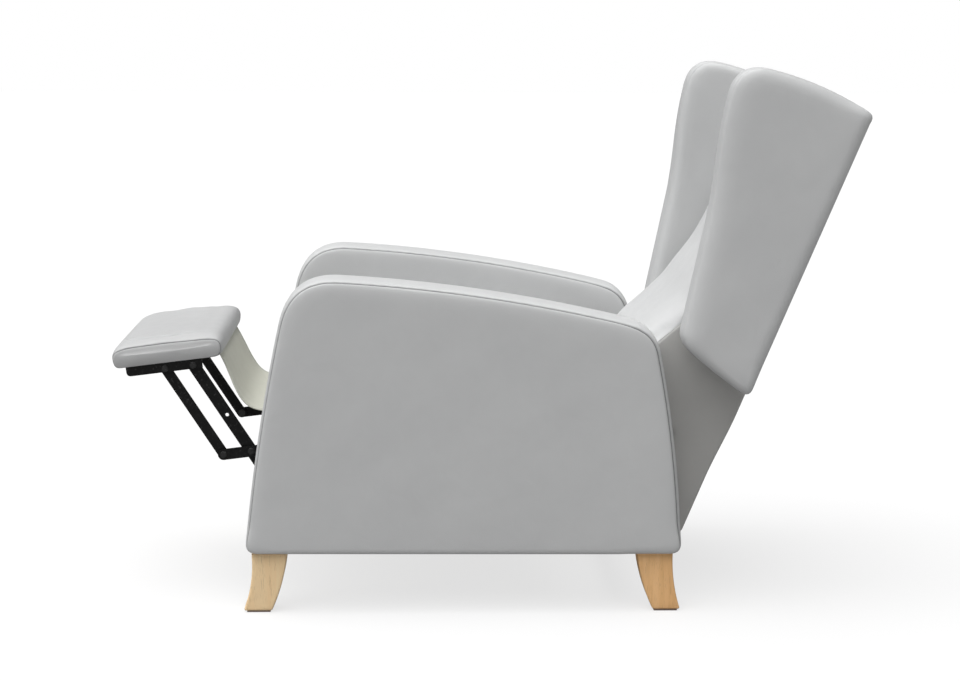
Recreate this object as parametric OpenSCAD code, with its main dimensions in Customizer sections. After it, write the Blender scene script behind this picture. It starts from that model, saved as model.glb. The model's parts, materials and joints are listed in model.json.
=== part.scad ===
// A wingback recliner in its reclined pose, with the footrest out.
// X runs across the chair, the sitter faces -Y, Z is up and the floor is at Z = 0.
// The sitter's left is +X.

/* [Overall] */
// Width across both arms
overall_w = 740; // [720:5:780]
// Height of the arms' underside above the floor
leg_h = 114; // [108:1:120]
// Angle of the back from upright
recline_angle = 22.65; // [21:0.05:24]
// Travel of the back from this pose to upright, in degrees
back_travel = 20; // [16:1:22]

/* [Arms] */
// Thickness of one arm
arm_w = 123; // [115:1:130]
// Place of the arms' lower front corner along Y
arm_front_y = -453; // [-460:1:-446]
// Depth of the arms along their underside
arm_depth = 827; // [815:1:840]
// Height of the arms above their underside, at the front
arm_h = 522; // [510:1:530]
// How far the front edge leans back from bottom to top
arm_front_lean = 104; // [95:1:112]
// How far the rear edge leans forward from bottom to top
arm_rear_lean = 61; // [52:1:70]
// How much lower the rear top corner is than the front one
arm_rear_drop = 95; // [85:1:105]
// Bow of the top edge
arm_top_bow = 16.5; // [10:0.5:22]
// Bow of the front edge
arm_front_bow = 17; // [10:0.5:22]
// Bow of the rear edge
arm_rear_bow = 10.5; // [5:0.5:15]
// Distance from the front top corner at which its rounding starts
arm_front_reach = 96; // [70:1:110]
// Distance from the rear top corner at which its rounding starts
arm_rear_reach = 60; // [45:1:75]
// Distance from the lower corners at which their rounding starts
arm_foot_reach = 24; // [15:1:35]
// Radius of the padded edges of the arms
arm_edge = 11; // [6:1:16]
// Swell of the arms' outer faces
arm_crown = 3; // [1:0.5:5]
// Thickness of the padding on the arms' faces
arm_wall = 15; // [12:1:20]
// Thickness of the padding on the arms' front, top and rear edges
arm_foam = 30; // [22:1:38]
// Thickness of the plywood panel inside an arm
arm_panel_t = 18; // [12:1:22]
// Height of the timber sill along the bottom of an arm
sill_h = 40; // [30:1:50]

/* [Legs] */
// Width of a leg across the chair
leg_w = 52; // [44:1:60]
// Distance from an arm's outer face to its legs
leg_inset = 17; // [16:1:24]
// Depth of a leg at its top
leg_top_d = 67; // [60:1:75]
// Depth of a leg at its foot
leg_foot_d = 50; // [42:1:56]
// Distance from the arm's lower front corner to the front leg's top
front_leg_in = 12; // [8:1:20]
// Distance from the arm's lower rear corner to the rear leg's top
rear_leg_in = 20; // [14:1:28]
// How far the front foot stands ahead of the leg's top front corner
front_leg_kick = 12; // [6:1:18]
// How far the rear foot stands behind the leg's top rear corner
rear_leg_kick = 14; // [8:1:20]
// Bow of the legs' curved edges
leg_bow = 5; // [2:0.5:8]
// Thickness of the glide under each foot
glide_t = 3; // [2:0.5:5]
// Inset of a glide from the foot's edge
glide_inset = 3; // [1:0.5:6]
// Diameter of the bolt that holds a leg
leg_bolt_d = 8; // [6:1:10]
// Length of the bolt that holds a leg
leg_bolt_l = 62; // [50:1:70]

/* [Seat] */
// Clearance between the seat cushion and an arm
seat_side_gap = 6; // [5:0.5:12]
// Place of the seat's front along Y
seat_front_y = -410; // [-414:1:-404]
// Depth of the seat from front to rear
seat_depth = 613; // [600:1:618]
// Height of the seat's top edge at the front
seat_front_z = 458; // [450:1:466]
// Fall of the seat's top edge from front to rear
seat_fall = 26; // [15:1:35]
// Crown of the seat cushion
seat_crown = 14; // [8:1:20]
// How far the seat's sides are drawn in
seat_pull = 4; // [2:0.5:6]
// Radius of the seat cushion's edges
seat_edge = 16; // [10:1:22]
// Height of the seat frame's underside above the floor
seat_frame_z = 365; // [362:1:370]
// Height of the seat frame's rails
seat_rail_h = 40; // [32:1:44]
// Width of the seat frame's rails
seat_rail_w = 26; // [22:1:32]
// Thickness of the boxed front edge of the seat cushion
seat_nose = 28; // [22:1:34]
// Number of springs under the seat
seat_spring_count = 5; // [3:1:6]
// Number of bends in one spring
seat_spring_bends = 14; // [8:1:18]
// Thickness of the spring wire
spring_wire = 4; // [3:0.5:5]
// Width of one spring
spring_w = 46; // [36:1:54]

/* [Back] */
// Place of the back hinge along Y
hinge_y = 318; // [314:1:322]
// Height of the back hinge above the floor
hinge_z = 300; // [296:1:304]
// Height of the back's body
back_h = 878; // [865:1:885]
// How far the back's body reaches below the hinge
back_below = 138; // [130:1:142]
// Distance from the hinge to the rear face of the back
back_rear = 129; // [124:1:134]
// Distance from the hinge to the plane where the cushion meets the frame
back_split = 63; // [58:1:68]
// Depth of the back cushion at its deepest, at the small of the back
lumbar_depth = 171; // [160:1:174]
// Crown of the back cushion across its width
back_crown = 20; // [12:1:24]
// Padding of the back's rear cover
back_wall = 12; // [8:1:15]
// Padding at the ends of the back's rear cover
back_end_wall = 20; // [14:1:26]
// Width of a back post across the chair
post_w = 42; // [34:1:48]
// Height of the rails between the posts
back_rail_h = 40; // [30:1:50]
// Number of webbing straps across the back
strap_count = 7; // [4:1:9]
// Width of a webbing strap
strap_w = 55; // [40:1:60]
// Thickness of a webbing strap
strap_t = 3; // [2:0.5:4]

/* [Wings] */
// Distance from the hinge to the wings' rear edge
wing_rear = 118.5; // [114:0.5:122]
// Height of the wings' lower rear corner above the hinge
wing_bottom = 171; // [165:1:178]
// How far the wings' lower front corner reaches ahead of the hinge
wing_foot_front = 40; // [34:1:44]
// Height of the lower front corner above the lower rear one
wing_foot_rise = 43; // [36:1:50]
// How far the wings' waist reaches ahead of the hinge
wing_waist_front = 95; // [88:1:102]
// Height of the wings' waist above the hinge
wing_waist_h = 500; // [480:1:520]
// How far the wings' top front corner reaches ahead of the hinge
wing_top_front = 150; // [142:1:158]
// Height of the top front corner above the hinge
wing_top_h = 727; // [715:1:732]
// Rise of the wings' top from its front corner to its rear corner
wing_top_rise = 14; // [8:1:20]
// Thickness of the wings at their root
wing_root_t = 129.7; // [120:0.1:135]
// Flare of the wings' inner faces, as a slope
wing_flare = 0.3; // [0.25:0.01:0.34]
// Distance behind the hinge at which the flare starts
wing_flare_start = 28; // [24:1:34]
// Radius of the wings' padded edges
wing_edge = 11; // [6:1:15]
// Swell of the wings' outer faces
wing_crown = 3; // [1:0.5:5]
// Thickness of the board inside a wing
wing_board_t = 18; // [12:1:22]

/* [Footrest] */
// How much narrower the footrest is on each side than the space between the arms
footrest_side_gap = 8; // [6:0.5:14]
// Depth of the footrest
footrest_depth = 208; // [196:1:216]
// Height of the footrest's side from its underside to its seam
footrest_side = 42; // [36:1:46]
// Crown of the footrest's top
footrest_crown = 9; // [5:1:12]
// How far the footrest reaches ahead of its front pivot
footrest_ahead = 100.5; // [94:0.5:106]
// Radius of the footrest's corners seen from above
footrest_corner = 30; // [20:1:40]
// Radius of the footrest's padded edges
footrest_edge = 9; // [6:1:14]
// Thickness of the board inside the footrest
board_t = 15; // [12:1:18]
// Distance from the board's edge to the footrest's front and rear
board_inset = 14; // [10:1:20]
// How much narrower the flexible panel is on each side than the space between the arms
flap_side_gap = 32; // [27:1:47]
// Thickness of the flexible panel
flap_t = 4; // [3:0.5:5]

/* [Mechanism] */
// Thickness of the steel plates and links
plate_t = 4; // [3:0.5:4]
// Thickness of the swing links
swing_t = 3.5; // [3:0.5:3.5]
// Length of a swing link between its pins
swing_l = 85; // [80:1:88]
// Angle of a swing link from upright
swing_lean = 20.6; // [18:0.1:21]
// Width of a swing link
swing_w = 26; // [22:1:28]
// Place of the front swing link's lower pin along Y
swing_front_y = -132; // [-136:1:-128]
// Distance between the front and rear swing links
swing_span = 320; // [310:1:326]
// Height of the lower swing pins above the floor
swing_z = 165; // [160:1:168]
// Place of the front link's fixed pivot along Y
fold_y = -319; // [-322:1:-316]
// Height of the front link's fixed pivot above the floor
fold_z = 302; // [299:1:305]
// Length of the front link from its fixed pivot to where the lift link crosses it
front_link_l = 130; // [128:1:131]
// Spacing of the two long links
link_spacing = 54; // [52:1:55]
// Length of the long links between their pins
long_link_l = 200.3; // [196:0.1:203]
// Length of the lift link's tail beyond the crossing
lift_tail_l = 45.5; // [44:0.5:48]
// Angle of the long links above level
long_link_angle = 56.9; // [55:0.1:58]
// Tilt of the front link and the footrest
footrest_tilt = 7.07; // [6:0.01:8]
// Travel of the footrest from out to folded, in degrees
fold_travel = 83; // [78:1:84]
// Width of the front and rear links
short_link_w = 21; // [18:1:22]
// Width of the stay link
stay_link_w = 20; // [17:1:21]
// Width of the lift link
lift_link_w = 23; // [20:1:24]
// Diameter of the pivot pins
pin_d = 10; // [8:0.5:10]
// Diameter of the pins' heads
pin_head_d = 15; // [13:0.5:16]
// Diameter of the hole through the middle of the lift link
lift_hole_d = 7; // [5:0.5:9]
// Outer diameter of the torque tube
tube_d = 24; // [22:1:26]
// Inner diameter of the torque tube
tube_bore = 18; // [17:0.5:18.5]
// Depth of the footrest bracket below the footrest
bracket_h = 19.5; // [18:0.5:22]
// Width of the footrest bracket's flange
bracket_flange = 24; // [18:1:30]

/* [Hidden] */
$fn = 48;

// Clearance between pieces that lie against each other on one body
seat_gap = 0.3;
// Radial clearance of a pin in its bore
pin_fit = 0.05;
// Radial clearance of the pivots where the linkage closes
open_fit = 0.4;
// How far a cut runs past the face it cuts
overrun = 2;
// Clearance between steel layers that slide past each other
layer_gap = 0.5;
// Clearance between the links and the plates beside them
link_gap = 1.5;
// Clearance between the swing links and the side plates
swing_gap = 2;
// Thickness of a pin's head
pin_head_t = 1.2;
// Edge distance of the plates around their pivots
plate_margin = 22;

// Planes across the chair, from the arm inwards
inner_x = overall_w / 2 - arm_w;
base_x = inner_x - plate_t;
swing_x = base_x - layer_gap - swing_t;
side_x = swing_x - swing_gap - plate_t;
outer_x = side_x - link_gap - plate_t;
inner_link_x = outer_x - link_gap - plate_t;
wing_x0 = overall_w / 2 - wing_root_t;

// Widths of the pieces between the arms and between the wings
seat_w = 2 * (inner_x - seat_side_gap);
back_w = 2 * (wing_x0 - seat_gap);
footrest_w = 2 * (inner_x - footrest_side_gap);
flap_w = 2 * (inner_x - flap_side_gap);

// Pivots as [y, z] places
swing_rise = swing_l * [-sin(swing_lean), cos(swing_lean)];
front_swing_low = [swing_front_y, swing_z];
rear_swing_low = front_swing_low + [swing_span, 0];
front_swing_top = front_swing_low + swing_rise;
rear_swing_top = rear_swing_low + swing_rise;
hinge = [hinge_y, hinge_z];
tilt_dir = [cos(footrest_tilt), sin(footrest_tilt)];
long_dir = [-cos(long_link_angle), sin(long_link_angle)];
front_pivot = [fold_y, fold_z];
crossing = front_pivot - front_link_l * tilt_dir;
stay_low = crossing - link_spacing * tilt_dir;
lift_tail = crossing - lift_tail_l * long_dir;
rear_pivot = front_pivot - lift_tail_l * long_dir;
lift_top = crossing + long_link_l * long_dir;
stay_top = stay_low + long_link_l * long_dir;
// Clearance between the links' ends and the footrest above them
lift_gap = 1.2;
// Height of the footrest's underside above its pivots
footrest_lift = lift_link_w / 2 + lift_gap;

seat_rear_y = seat_front_y + seat_depth;
seat_frame_top = seat_frame_z + seat_rail_h;
seat_rail_front = seat_front_y + seat_nose;
// Distance from the seat's rear edge to the end of its frame
seat_frame_short = 15;
seat_rail_rear = seat_rear_y - seat_frame_short;

leather = "gainsboro";
timber = "burlywood";
steel = "dimgray";

// Unit vector along v
function unit(v) = v / norm(v);
// Point at share t of the edge from a to b, bowed outwards on its right-hand side
function bowed(a, b, bow, t) =
  a + (b - a) * t + unit([(b - a)[1], -(b - a)[0]]) * bow * 4 * t * (1 - t);
// Direction of that edge at share t
function bowed_dir(a, b, bow, t) =
  unit((b - a) + unit([(b - a)[1], -(b - a)[0]]) * bow * 4 * (1 - 2 * t));
// Cross product of two flat vectors
function cross2(a, b) = a[0] * b[1] - a[1] * b[0];
// Where the line through p along d meets the line through q along e
function meet(p, d, q, e) =
  abs(cross2(d, e)) < 0.001 ? (p + q) / 2 : p + d * cross2(q - p, e) / cross2(d, e);
// Point at share t of the curve from p to r that is drawn towards q
function curve(p, q, r, t) = p * (1 - t) ^ 2 + q * 2 * t * (1 - t) + r * t ^ 2;
// Closed outline through corners, anticlockwise, with bowed edges and rounded corners.
// Edge i runs from corner i to the next, and reach i is how far its corner's rounding goes.
function outline(corners, reaches, bows, turns = 6, steps = 5) = let (n = len(corners)) [
  for (i = [0:n - 1])
    let (
      before = corners[(i + n - 1) % n], here = corners[i], after = corners[(i + 1) % n],
      bow_in = bows[(i + n - 1) % n], bow_out = bows[i],
      t_in = 1 - reaches[i] / norm(here - before), t_out = reaches[i] / norm(after - here),
      t_end = 1 - reaches[(i + 1) % n] / norm(after - here),
      p = bowed(before, here, bow_in, t_in), r = bowed(here, after, bow_out, t_out),
      q = meet(p, bowed_dir(before, here, bow_in, t_in), r, bowed_dir(here, after, bow_out, t_out))
    )
    each concat(
      [for (k = [0:turns]) curve(p, q, r, k / turns)],
      [for (k = [1:1:steps - 1]) bowed(here, after, bow_out, t_out + (t_end - t_out) * k / steps)]
    )
];
// Outline drawn inwards by d
function shrink(o, d) = let (n = len(o)) [
  for (i = [0:n - 1])
    let (
      e1 = unit(o[i] - o[(i + n - 1) % n]), e2 = unit(o[(i + 1) % n] - o[i]),
      n1 = [e1[1], -e1[0]], m = unit(n1 + [e2[1], -e2[0]])
    )
    o[i] - m * d / (m * n1)
];
// Middle of a list of points
function centre(o) = [for (k = [0:len(o[0]) - 1]) [for (p = o) p[k]] * [for (p = o) 1] / len(o)];
// Outline scaled by s about its middle
function drawn(o, s) = let (c = centre(o)) [for (p = o) c + (p - c) * s];

// Closed skin over rings of points that run anticlockwise seen from the last ring's side
module skin(rings) {
  n = len(rings[0]);
  m = len(rings);
  points = concat([for (r = rings) each r], [centre(rings[0]), centre(rings[m - 1])]);
  faces = concat(
    [for (k = [0:m - 2]) for (i = [0:n - 1]) let (j = (i + 1) % n)
      each [[k * n + i, (k + 1) * n + j, k * n + j], [k * n + i, (k + 1) * n + i, (k + 1) * n + j]]],
    [for (i = [0:n - 1]) [m * n, i, (i + 1) % n]],
    [for (i = [0:n - 1]) [m * n + 1, (m - 1) * n + (i + 1) % n, (m - 1) * n + i]]
  );
  polyhedron(points, faces, convexity = 6);
}

// Shares of the face at which a padded panel's crown has a ring
crown_shares = [0.35, 0.7];
// Angles of the rings round a padded edge
edge_angles = [0, 30, 60, 90];

// Padded panel over an outline in Y and Z, from x0 to x1, with its inner face flaring
// ahead of the place root by slope flare
module padded_panel(o, x0, x1, edge, crown0, crown1, flare = 0, root = 0) {
  rim = shrink(o, edge);
  rings = concat(
    [for (s = crown_shares) [for (p = drawn(rim, s))
      [x0 + flare * max(0, root - p[0]) + crown0 * s * s, p[0], p[1]]]],
    [for (a = edge_angles) [for (p = shrink(o, edge * (1 - sin(a))))
      [x0 + flare * max(0, root - p[0]) + crown0 + edge * (1 - cos(a)), p[0], p[1]]]],
    [for (i = [len(edge_angles) - 1:-1:0]) let (a = edge_angles[i])
      [for (p = shrink(o, edge * (1 - sin(a)))) [x1 - crown1 - edge * (1 - cos(a)), p[0], p[1]]]],
    [for (i = [len(crown_shares) - 1:-1:0]) let (s = crown_shares[i])
      [for (p = drawn(rim, s)) [x1 - crown1 * s * s, p[0], p[1]]]]
  );
  skin(rings);
}

// Cross section of a cushion in its width and height, anticlockwise: flat below, drawn in
// at the sides and crowned on top
function section(half, low, high, crown, edge, pull, steps = 8) = let (
  e = min(edge, (high - low) / 2.5), top = half - e
) concat(
  [[-half + e / 2, low], [half - e / 2, low], [half - e / 8, low + e / 2]],
  [[half - pull, (low + high) / 2], [half, high - e], [half - e * 0.3, high - e * 0.3]],
  [for (k = [0:steps]) let (x = top * (1 - 2 * k / steps)) [x, high + crown * (1 - (x / top) ^ 2)]],
  [[-half + e * 0.3, high - e * 0.3], [-half, high - e], [-half + pull, (low + high) / 2]],
  [[-half + e / 8, low + e / 2]]
);

// Puts children on the sitter's left for side 1 and mirrors them to the right for side -1
module on_side(side) {
  if (side > 0) children();
  else mirror([1, 0, 0]) children();
}
// Extrudes an outline in Y and Z from x0 to x1
module across(x0, x1) {
  translate([x0, 0, 0]) rotate([90, 0, 90]) linear_extrude(x1 - x0) children();
}
// Round bar along X at a place [y, z]
module rod(x0, x1, place, r) {
  translate([x0, place[0], place[1]]) rotate([0, 90, 0]) cylinder(h = x1 - x0, r = r);
}
// Outline of a bar of width w with round ends about places p and q, anticlockwise
function capsule(p, q, w, steps = 16) = let (a = atan2((q - p)[1], (q - p)[0])) concat(
  [for (k = [0:steps]) q + w / 2 * [cos(a - 90 + 180 * k / steps), sin(a - 90 + 180 * k / steps)]],
  [for (k = [0:steps]) p + w / 2 * [cos(a + 90 + 180 * k / steps), sin(a + 90 + 180 * k / steps)]]
);
// Flat link of thickness t with round ends about places p and q
module link(x0, t, p, q, w) {
  across(x0, x0 + t) polygon(capsule(p, q, w));
}
// Bore for a pin, along X, through a plate from x0 of thickness t
module bore(x0, t, place, fit) {
  rod(x0 - overrun, x0 + t + overrun, place, pin_d / 2 + fit);
}
// Pin along X with a head at either end that is asked for
module pin(x0, x1, place, head0, head1) {
  rod(x0, x1, place, pin_d / 2);
  if (head0) rod(x0, x0 + pin_head_t, place, pin_head_d / 2);
  if (head1) rod(x1 - pin_head_t, x1, place, pin_head_d / 2);
}
// Frame of the back: Y runs rearwards and Z up along it, from the hinge
module in_back() {
  translate([0, hinge_y, hinge_z]) rotate([-recline_angle, 0, 0]) children();
}
// Frame of the footrest: Y runs rearwards and Z up from its front pivot
module in_footrest() {
  translate([0, stay_top[0], stay_top[1]]) rotate([footrest_tilt, 0, 0]) children();
}

// Outline of an arm drawn in by d on its padded edges, with its foot at height foot
function arm_outline(d, foot) = outline(
  [
    [arm_front_y + arm_depth - d, foot],
    [arm_front_y + arm_depth - arm_rear_lean - d, leg_h + arm_h - arm_rear_drop - d],
    [arm_front_y + arm_front_lean + d, leg_h + arm_h - d],
    [arm_front_y + d, foot]
  ],
  [arm_foot_reach, arm_rear_reach, arm_front_reach, arm_foot_reach],
  [arm_rear_bow, arm_top_bow, arm_front_bow, 0]
);

module arm_cover(side) {
  color(leather) on_side(side) difference() {
    padded_panel(arm_outline(0, leg_h), inner_x, overall_w / 2, arm_edge, 0, arm_crown);
    across(inner_x + arm_wall, overall_w / 2 - arm_wall)
      polygon(arm_outline(arm_foam, leg_h - arm_foot_reach));
  }
}
module arm_panel(side) {
  color(timber) on_side(side)
    intersection() {
      across(inner_x + arm_wall + seat_gap, inner_x + arm_wall + seat_gap + arm_panel_t)
        polygon(arm_outline(arm_foam + seat_gap, leg_h - arm_foot_reach));
      translate([0, arm_front_y, leg_h]) cube([overall_w / 2, arm_depth, arm_h]);
    }
}
module arm_sill(side) {
  x0 = inner_x + arm_wall + 2 * seat_gap + arm_panel_t;
  x1 = overall_w / 2 - arm_wall - seat_gap;
  color(timber) on_side(side) difference() {
    intersection() {
      across(x0, x1) polygon(arm_outline(arm_foam + seat_gap, leg_h - arm_foot_reach));
      translate([0, arm_front_y, leg_h]) cube([overall_w / 2, arm_depth, sill_h]);
    }
    for (y = leg_bolt_places) leg_bolt_hole(y);
  }
}

leg_x1 = overall_w / 2 - leg_inset;
leg_x0 = leg_x1 - leg_w;
front_leg_top = arm_front_y + front_leg_in;
rear_leg_top = arm_front_y + arm_depth - rear_leg_in;
leg_bolt_places = [front_leg_top + leg_top_d / 2, rear_leg_top - leg_top_d / 2];
// Outlines of the legs, anticlockwise from the lower rear corner
front_leg_outline = outline(
  [
    [front_leg_top - front_leg_kick + leg_foot_d, glide_t], [front_leg_top + leg_top_d, leg_h],
    [front_leg_top, leg_h], [front_leg_top - front_leg_kick, glide_t]
  ],
  [glide_t, glide_t, glide_t, glide_t], [leg_bow, 0, -leg_bow, 0], 1, 8
);
rear_leg_outline = outline(
  [
    [rear_leg_top + rear_leg_kick, glide_t], [rear_leg_top, leg_h],
    [rear_leg_top - leg_top_d, leg_h], [rear_leg_top + rear_leg_kick - leg_foot_d, glide_t]
  ],
  [glide_t, glide_t, glide_t, glide_t], [-leg_bow, 0, leg_bow, 0], 1, 8
);
module leg_bolt_hole(y) {
  translate([(leg_x0 + leg_x1) / 2, y, leg_h - leg_bolt_l / 2 - pin_fit])
    cylinder(h = leg_bolt_l + 2 * pin_fit, r = leg_bolt_d / 2 + pin_fit);
}
module leg(side, shape, bolt_y) {
  color(timber) on_side(side) difference() {
    across(leg_x0, leg_x1) polygon(shape);
    leg_bolt_hole(bolt_y);
  }
}
module foot_glides() {
  color("darkgray") for (side = [1, -1])
    for (y = [front_leg_top - front_leg_kick, rear_leg_top + rear_leg_kick - leg_foot_d])
      on_side(side) translate([leg_x0 + glide_inset, y + glide_inset, 0])
        cube([leg_w - 2 * glide_inset, leg_foot_d - 2 * glide_inset, glide_t]);
}
module leg_bolts() {
  color("silver") for (side = [1, -1]) for (y = leg_bolt_places)
    on_side(side) translate([(leg_x0 + leg_x1) / 2, y, leg_h - leg_bolt_l / 2])
      cylinder(h = leg_bolt_l, r = leg_bolt_d / 2);
}

// Depth and height of the rails that tie the arms together
cross_rail_d = 30;
cross_rail_h = 40;
// Gap between a rail's underside and the arms' underside
cross_rail_lift = 4;
// Distance from the front swing pin to the front rail, and from the rear one to the rear rail
front_rail_ahead = 58;
rear_rail_behind = 50;
front_rail_y = swing_front_y - front_rail_ahead;
rear_rail_y = rear_swing_low[0] + rear_rail_behind;
module cross_rail(y) {
  color(timber) translate([-base_x, y, leg_h + cross_rail_lift])
    cube([2 * base_x, cross_rail_d, cross_rail_h]);
}
// Distance from a base plate's edge to the rails it carries
base_plate_margin = 12;
module base_plate(side) {
  y0 = front_rail_y - base_plate_margin;
  y1 = rear_rail_y + cross_rail_d + base_plate_margin;
  color(steel) on_side(side) difference() {
    translate([base_x, y0, leg_h + cross_rail_lift])
      cube([plate_t, y1 - y0, swing_z - leg_h - cross_rail_lift + plate_margin]);
    bore(base_x, plate_t, front_swing_low, pin_fit);
    bore(base_x, plate_t, rear_swing_low, pin_fit);
  }
}
module swing_base_pins() {
  x0 = swing_x - pin_head_t - seat_gap;
  color("silver") for (side = [1, -1]) for (p = [front_swing_low, rear_swing_low])
    on_side(side) pin(x0, inner_x, p, true, false);
}
module swing_link(side, low) {
  color(steel) on_side(side) difference() {
    link(swing_x, swing_t, low, low + swing_rise, swing_w);
    bore(swing_x, swing_t, low, pin_fit);
    bore(swing_x, swing_t, low + swing_rise, pin_fit);
  }
}

// Distance from the seat frame's top to the side plate's top
side_plate_low = 5;
// Places of the side plate's corners, as shares of the margin round its pivots
hinge_upper_shares = [-1.4, 1];
hinge_lower_shares = [-0.36, -0.93];
swing_rear_shares = [0.6, -0.9];
swing_front_shares = [-0.7, -0.9];
rear_pivot_shares = [-0.8, -1];
front_pivot_shares = [-1, -0.1];
module side_plate(side) {
  m = plate_margin;
  top = seat_frame_top - side_plate_low;
  color(steel) on_side(side) difference() {
    union() {
      across(side_x, side_x + plate_t) polygon([
        [front_pivot[0] - m, top], front_pivot + m * front_pivot_shares,
        rear_pivot + m * rear_pivot_shares, front_swing_top + m * swing_front_shares,
        rear_swing_top + m * swing_rear_shares, hinge + m * hinge_lower_shares,
        hinge, hinge + m * hinge_upper_shares, [seat_rail_rear, top]
      ]);
      rod(side_x, side_x + plate_t, hinge, m);
    }
    for (p = [front_pivot, rear_pivot, front_swing_top, rear_swing_top, hinge])
      bore(side_x, plate_t, p, pin_fit);
  }
}
module seat_rail(side) {
  color(timber) on_side(side)
    translate([side_x - seat_rail_w, seat_rail_front + seat_gap, seat_frame_z])
      cube([seat_rail_w, seat_rail_rear - seat_rail_front - seat_gap, seat_rail_h]);
}
module seat_cross_rails() {
  half = side_x - seat_rail_w;
  color(timber) for (y = [seat_rail_front + seat_gap, seat_rail_rear - seat_rail_w])
    translate([-half, y, seat_frame_z]) cube([2 * half, seat_rail_w, seat_rail_h]);
}
// One spring: bars across it, joined by bars along alternate sides
module serpentine(y0, y1, w, wire, bends) {
  pitch = (y1 - y0 - wire) / bends;
  for (k = [0:bends]) translate([-w / 2, y0 + k * pitch]) square([w, wire]);
  for (k = [0:bends - 1])
    translate([k % 2 == 0 ? w / 2 - wire : -w / 2, y0 + k * pitch]) square([wire, pitch + wire]);
}
module seat_springs() {
  half = side_x - seat_rail_w - spring_w;
  y0 = seat_rail_front + seat_rail_w + 2 * seat_gap;
  y1 = seat_rail_rear - seat_rail_w - seat_gap;
  color("silver") for (k = [0:seat_spring_count - 1])
    translate([-half + 2 * half * k / (seat_spring_count - 1), 0, seat_frame_top - 2 * spring_wire])
      linear_extrude(spring_wire) serpentine(y0, y1, spring_w, spring_wire, seat_spring_bends);
}

// Seat stations from front to rear: share of the depth, of the nose's drop, and of the width
seat_station_shares = [
  [0, 0.62, 0.93], [0.008, 0.85, 0.965], [0.022, 0.97, 0.99], [0.045, 1, 1], [0.15, 1.03, 1],
  [0.35, 1.03, 1], [0.6, 1, 1], [0.85, 0.99, 1], [0.96, 0.96, 0.995], [0.985, 0.85, 0.98], [1, 0.7, 0.95]
];
module seat_cushion() {
  color(leather) difference() {
    skin([for (i = [len(seat_station_shares) - 1:-1:0]) let (
        s = seat_station_shares[i], y = seat_front_y + s[0] * seat_depth,
        top = seat_front_z - seat_fall * s[0], high = seat_frame_z + (top - seat_frame_z) * s[1]
      ) [for (p = section(seat_w / 2 * s[2], seat_frame_z, high, seat_crown * s[1], seat_edge, seat_pull))
        [p[0], y, p[1]]]]);
    translate([-seat_w, seat_rail_front, seat_frame_z - overrun])
      cube([2 * seat_w, seat_depth, seat_rail_h + overrun + seat_gap]);
  }
}
module carriage_pins() {
  color("silver") for (side = [1, -1]) on_side(side) {
    for (p = [front_swing_top, rear_swing_top])
      pin(side_x - pin_head_t, base_x - seat_gap, p, true, false);
    for (p = [front_pivot, rear_pivot])
      pin(outer_x - pin_head_t - seat_gap, side_x + plate_t, p, true, false);
  }
}

module torque_tube() {
  color(steel) difference() {
    rod(-outer_x, outer_x, front_pivot, tube_d / 2);
    rod(-outer_x - overrun, outer_x + overrun, front_pivot, tube_bore / 2);
  }
}
module front_link(side) {
  color(steel) on_side(side) difference() {
    link(outer_x, plate_t, front_pivot, stay_low, short_link_w);
    bore(outer_x, plate_t, front_pivot, pin_fit);
    bore(outer_x, plate_t, crossing, pin_fit);
    bore(outer_x, plate_t, stay_low, pin_fit);
  }
}
module link_pins() {
  color("silver") for (side = [1, -1]) for (p = [crossing, stay_low])
    on_side(side) pin(inner_link_x - pin_head_t - seat_gap, outer_x + plate_t, p, true, false);
}
module rear_link(side) {
  color(steel) on_side(side) difference() {
    link(outer_x, plate_t, rear_pivot, lift_tail, short_link_w);
    bore(outer_x, plate_t, rear_pivot, pin_fit);
    bore(outer_x, plate_t, lift_tail, pin_fit);
  }
}
module tail_pins() {
  color("silver") for (side = [1, -1])
    on_side(side) pin(inner_link_x - pin_head_t - seat_gap, outer_x + plate_t, lift_tail, true, false);
}
// Share of the lift link's length, from its crossing, at which its spare hole is
lift_hole_share = 0.42;
module lift_link(side) {
  hole = crossing + lift_hole_share * long_link_l * long_dir;
  color(steel) on_side(side) difference() {
    link(inner_link_x, plate_t, lift_tail, lift_top, lift_link_w);
    bore(inner_link_x, plate_t, lift_tail, open_fit);
    bore(inner_link_x, plate_t, crossing, pin_fit);
    bore(inner_link_x, plate_t, lift_top, pin_fit);
    rod(inner_link_x - overrun, inner_link_x + plate_t + overrun, hole, lift_hole_d / 2);
  }
}
module stay_link(side) {
  color(steel) on_side(side) difference() {
    link(inner_link_x, plate_t, stay_low, stay_top, stay_link_w);
    bore(inner_link_x, plate_t, stay_low, pin_fit);
    bore(inner_link_x, plate_t, stay_top, open_fit);
  }
}

// How far the bracket reaches ahead of its front pivot and behind it
bracket_ahead = 74;
bracket_behind = 72;
// Rounding of the bracket's lower front corner, and of its other corners
bracket_nose = 9;
bracket_ease = 1;
// Thickness of the bracket's screw tabs
tab_t = 3;
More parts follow.
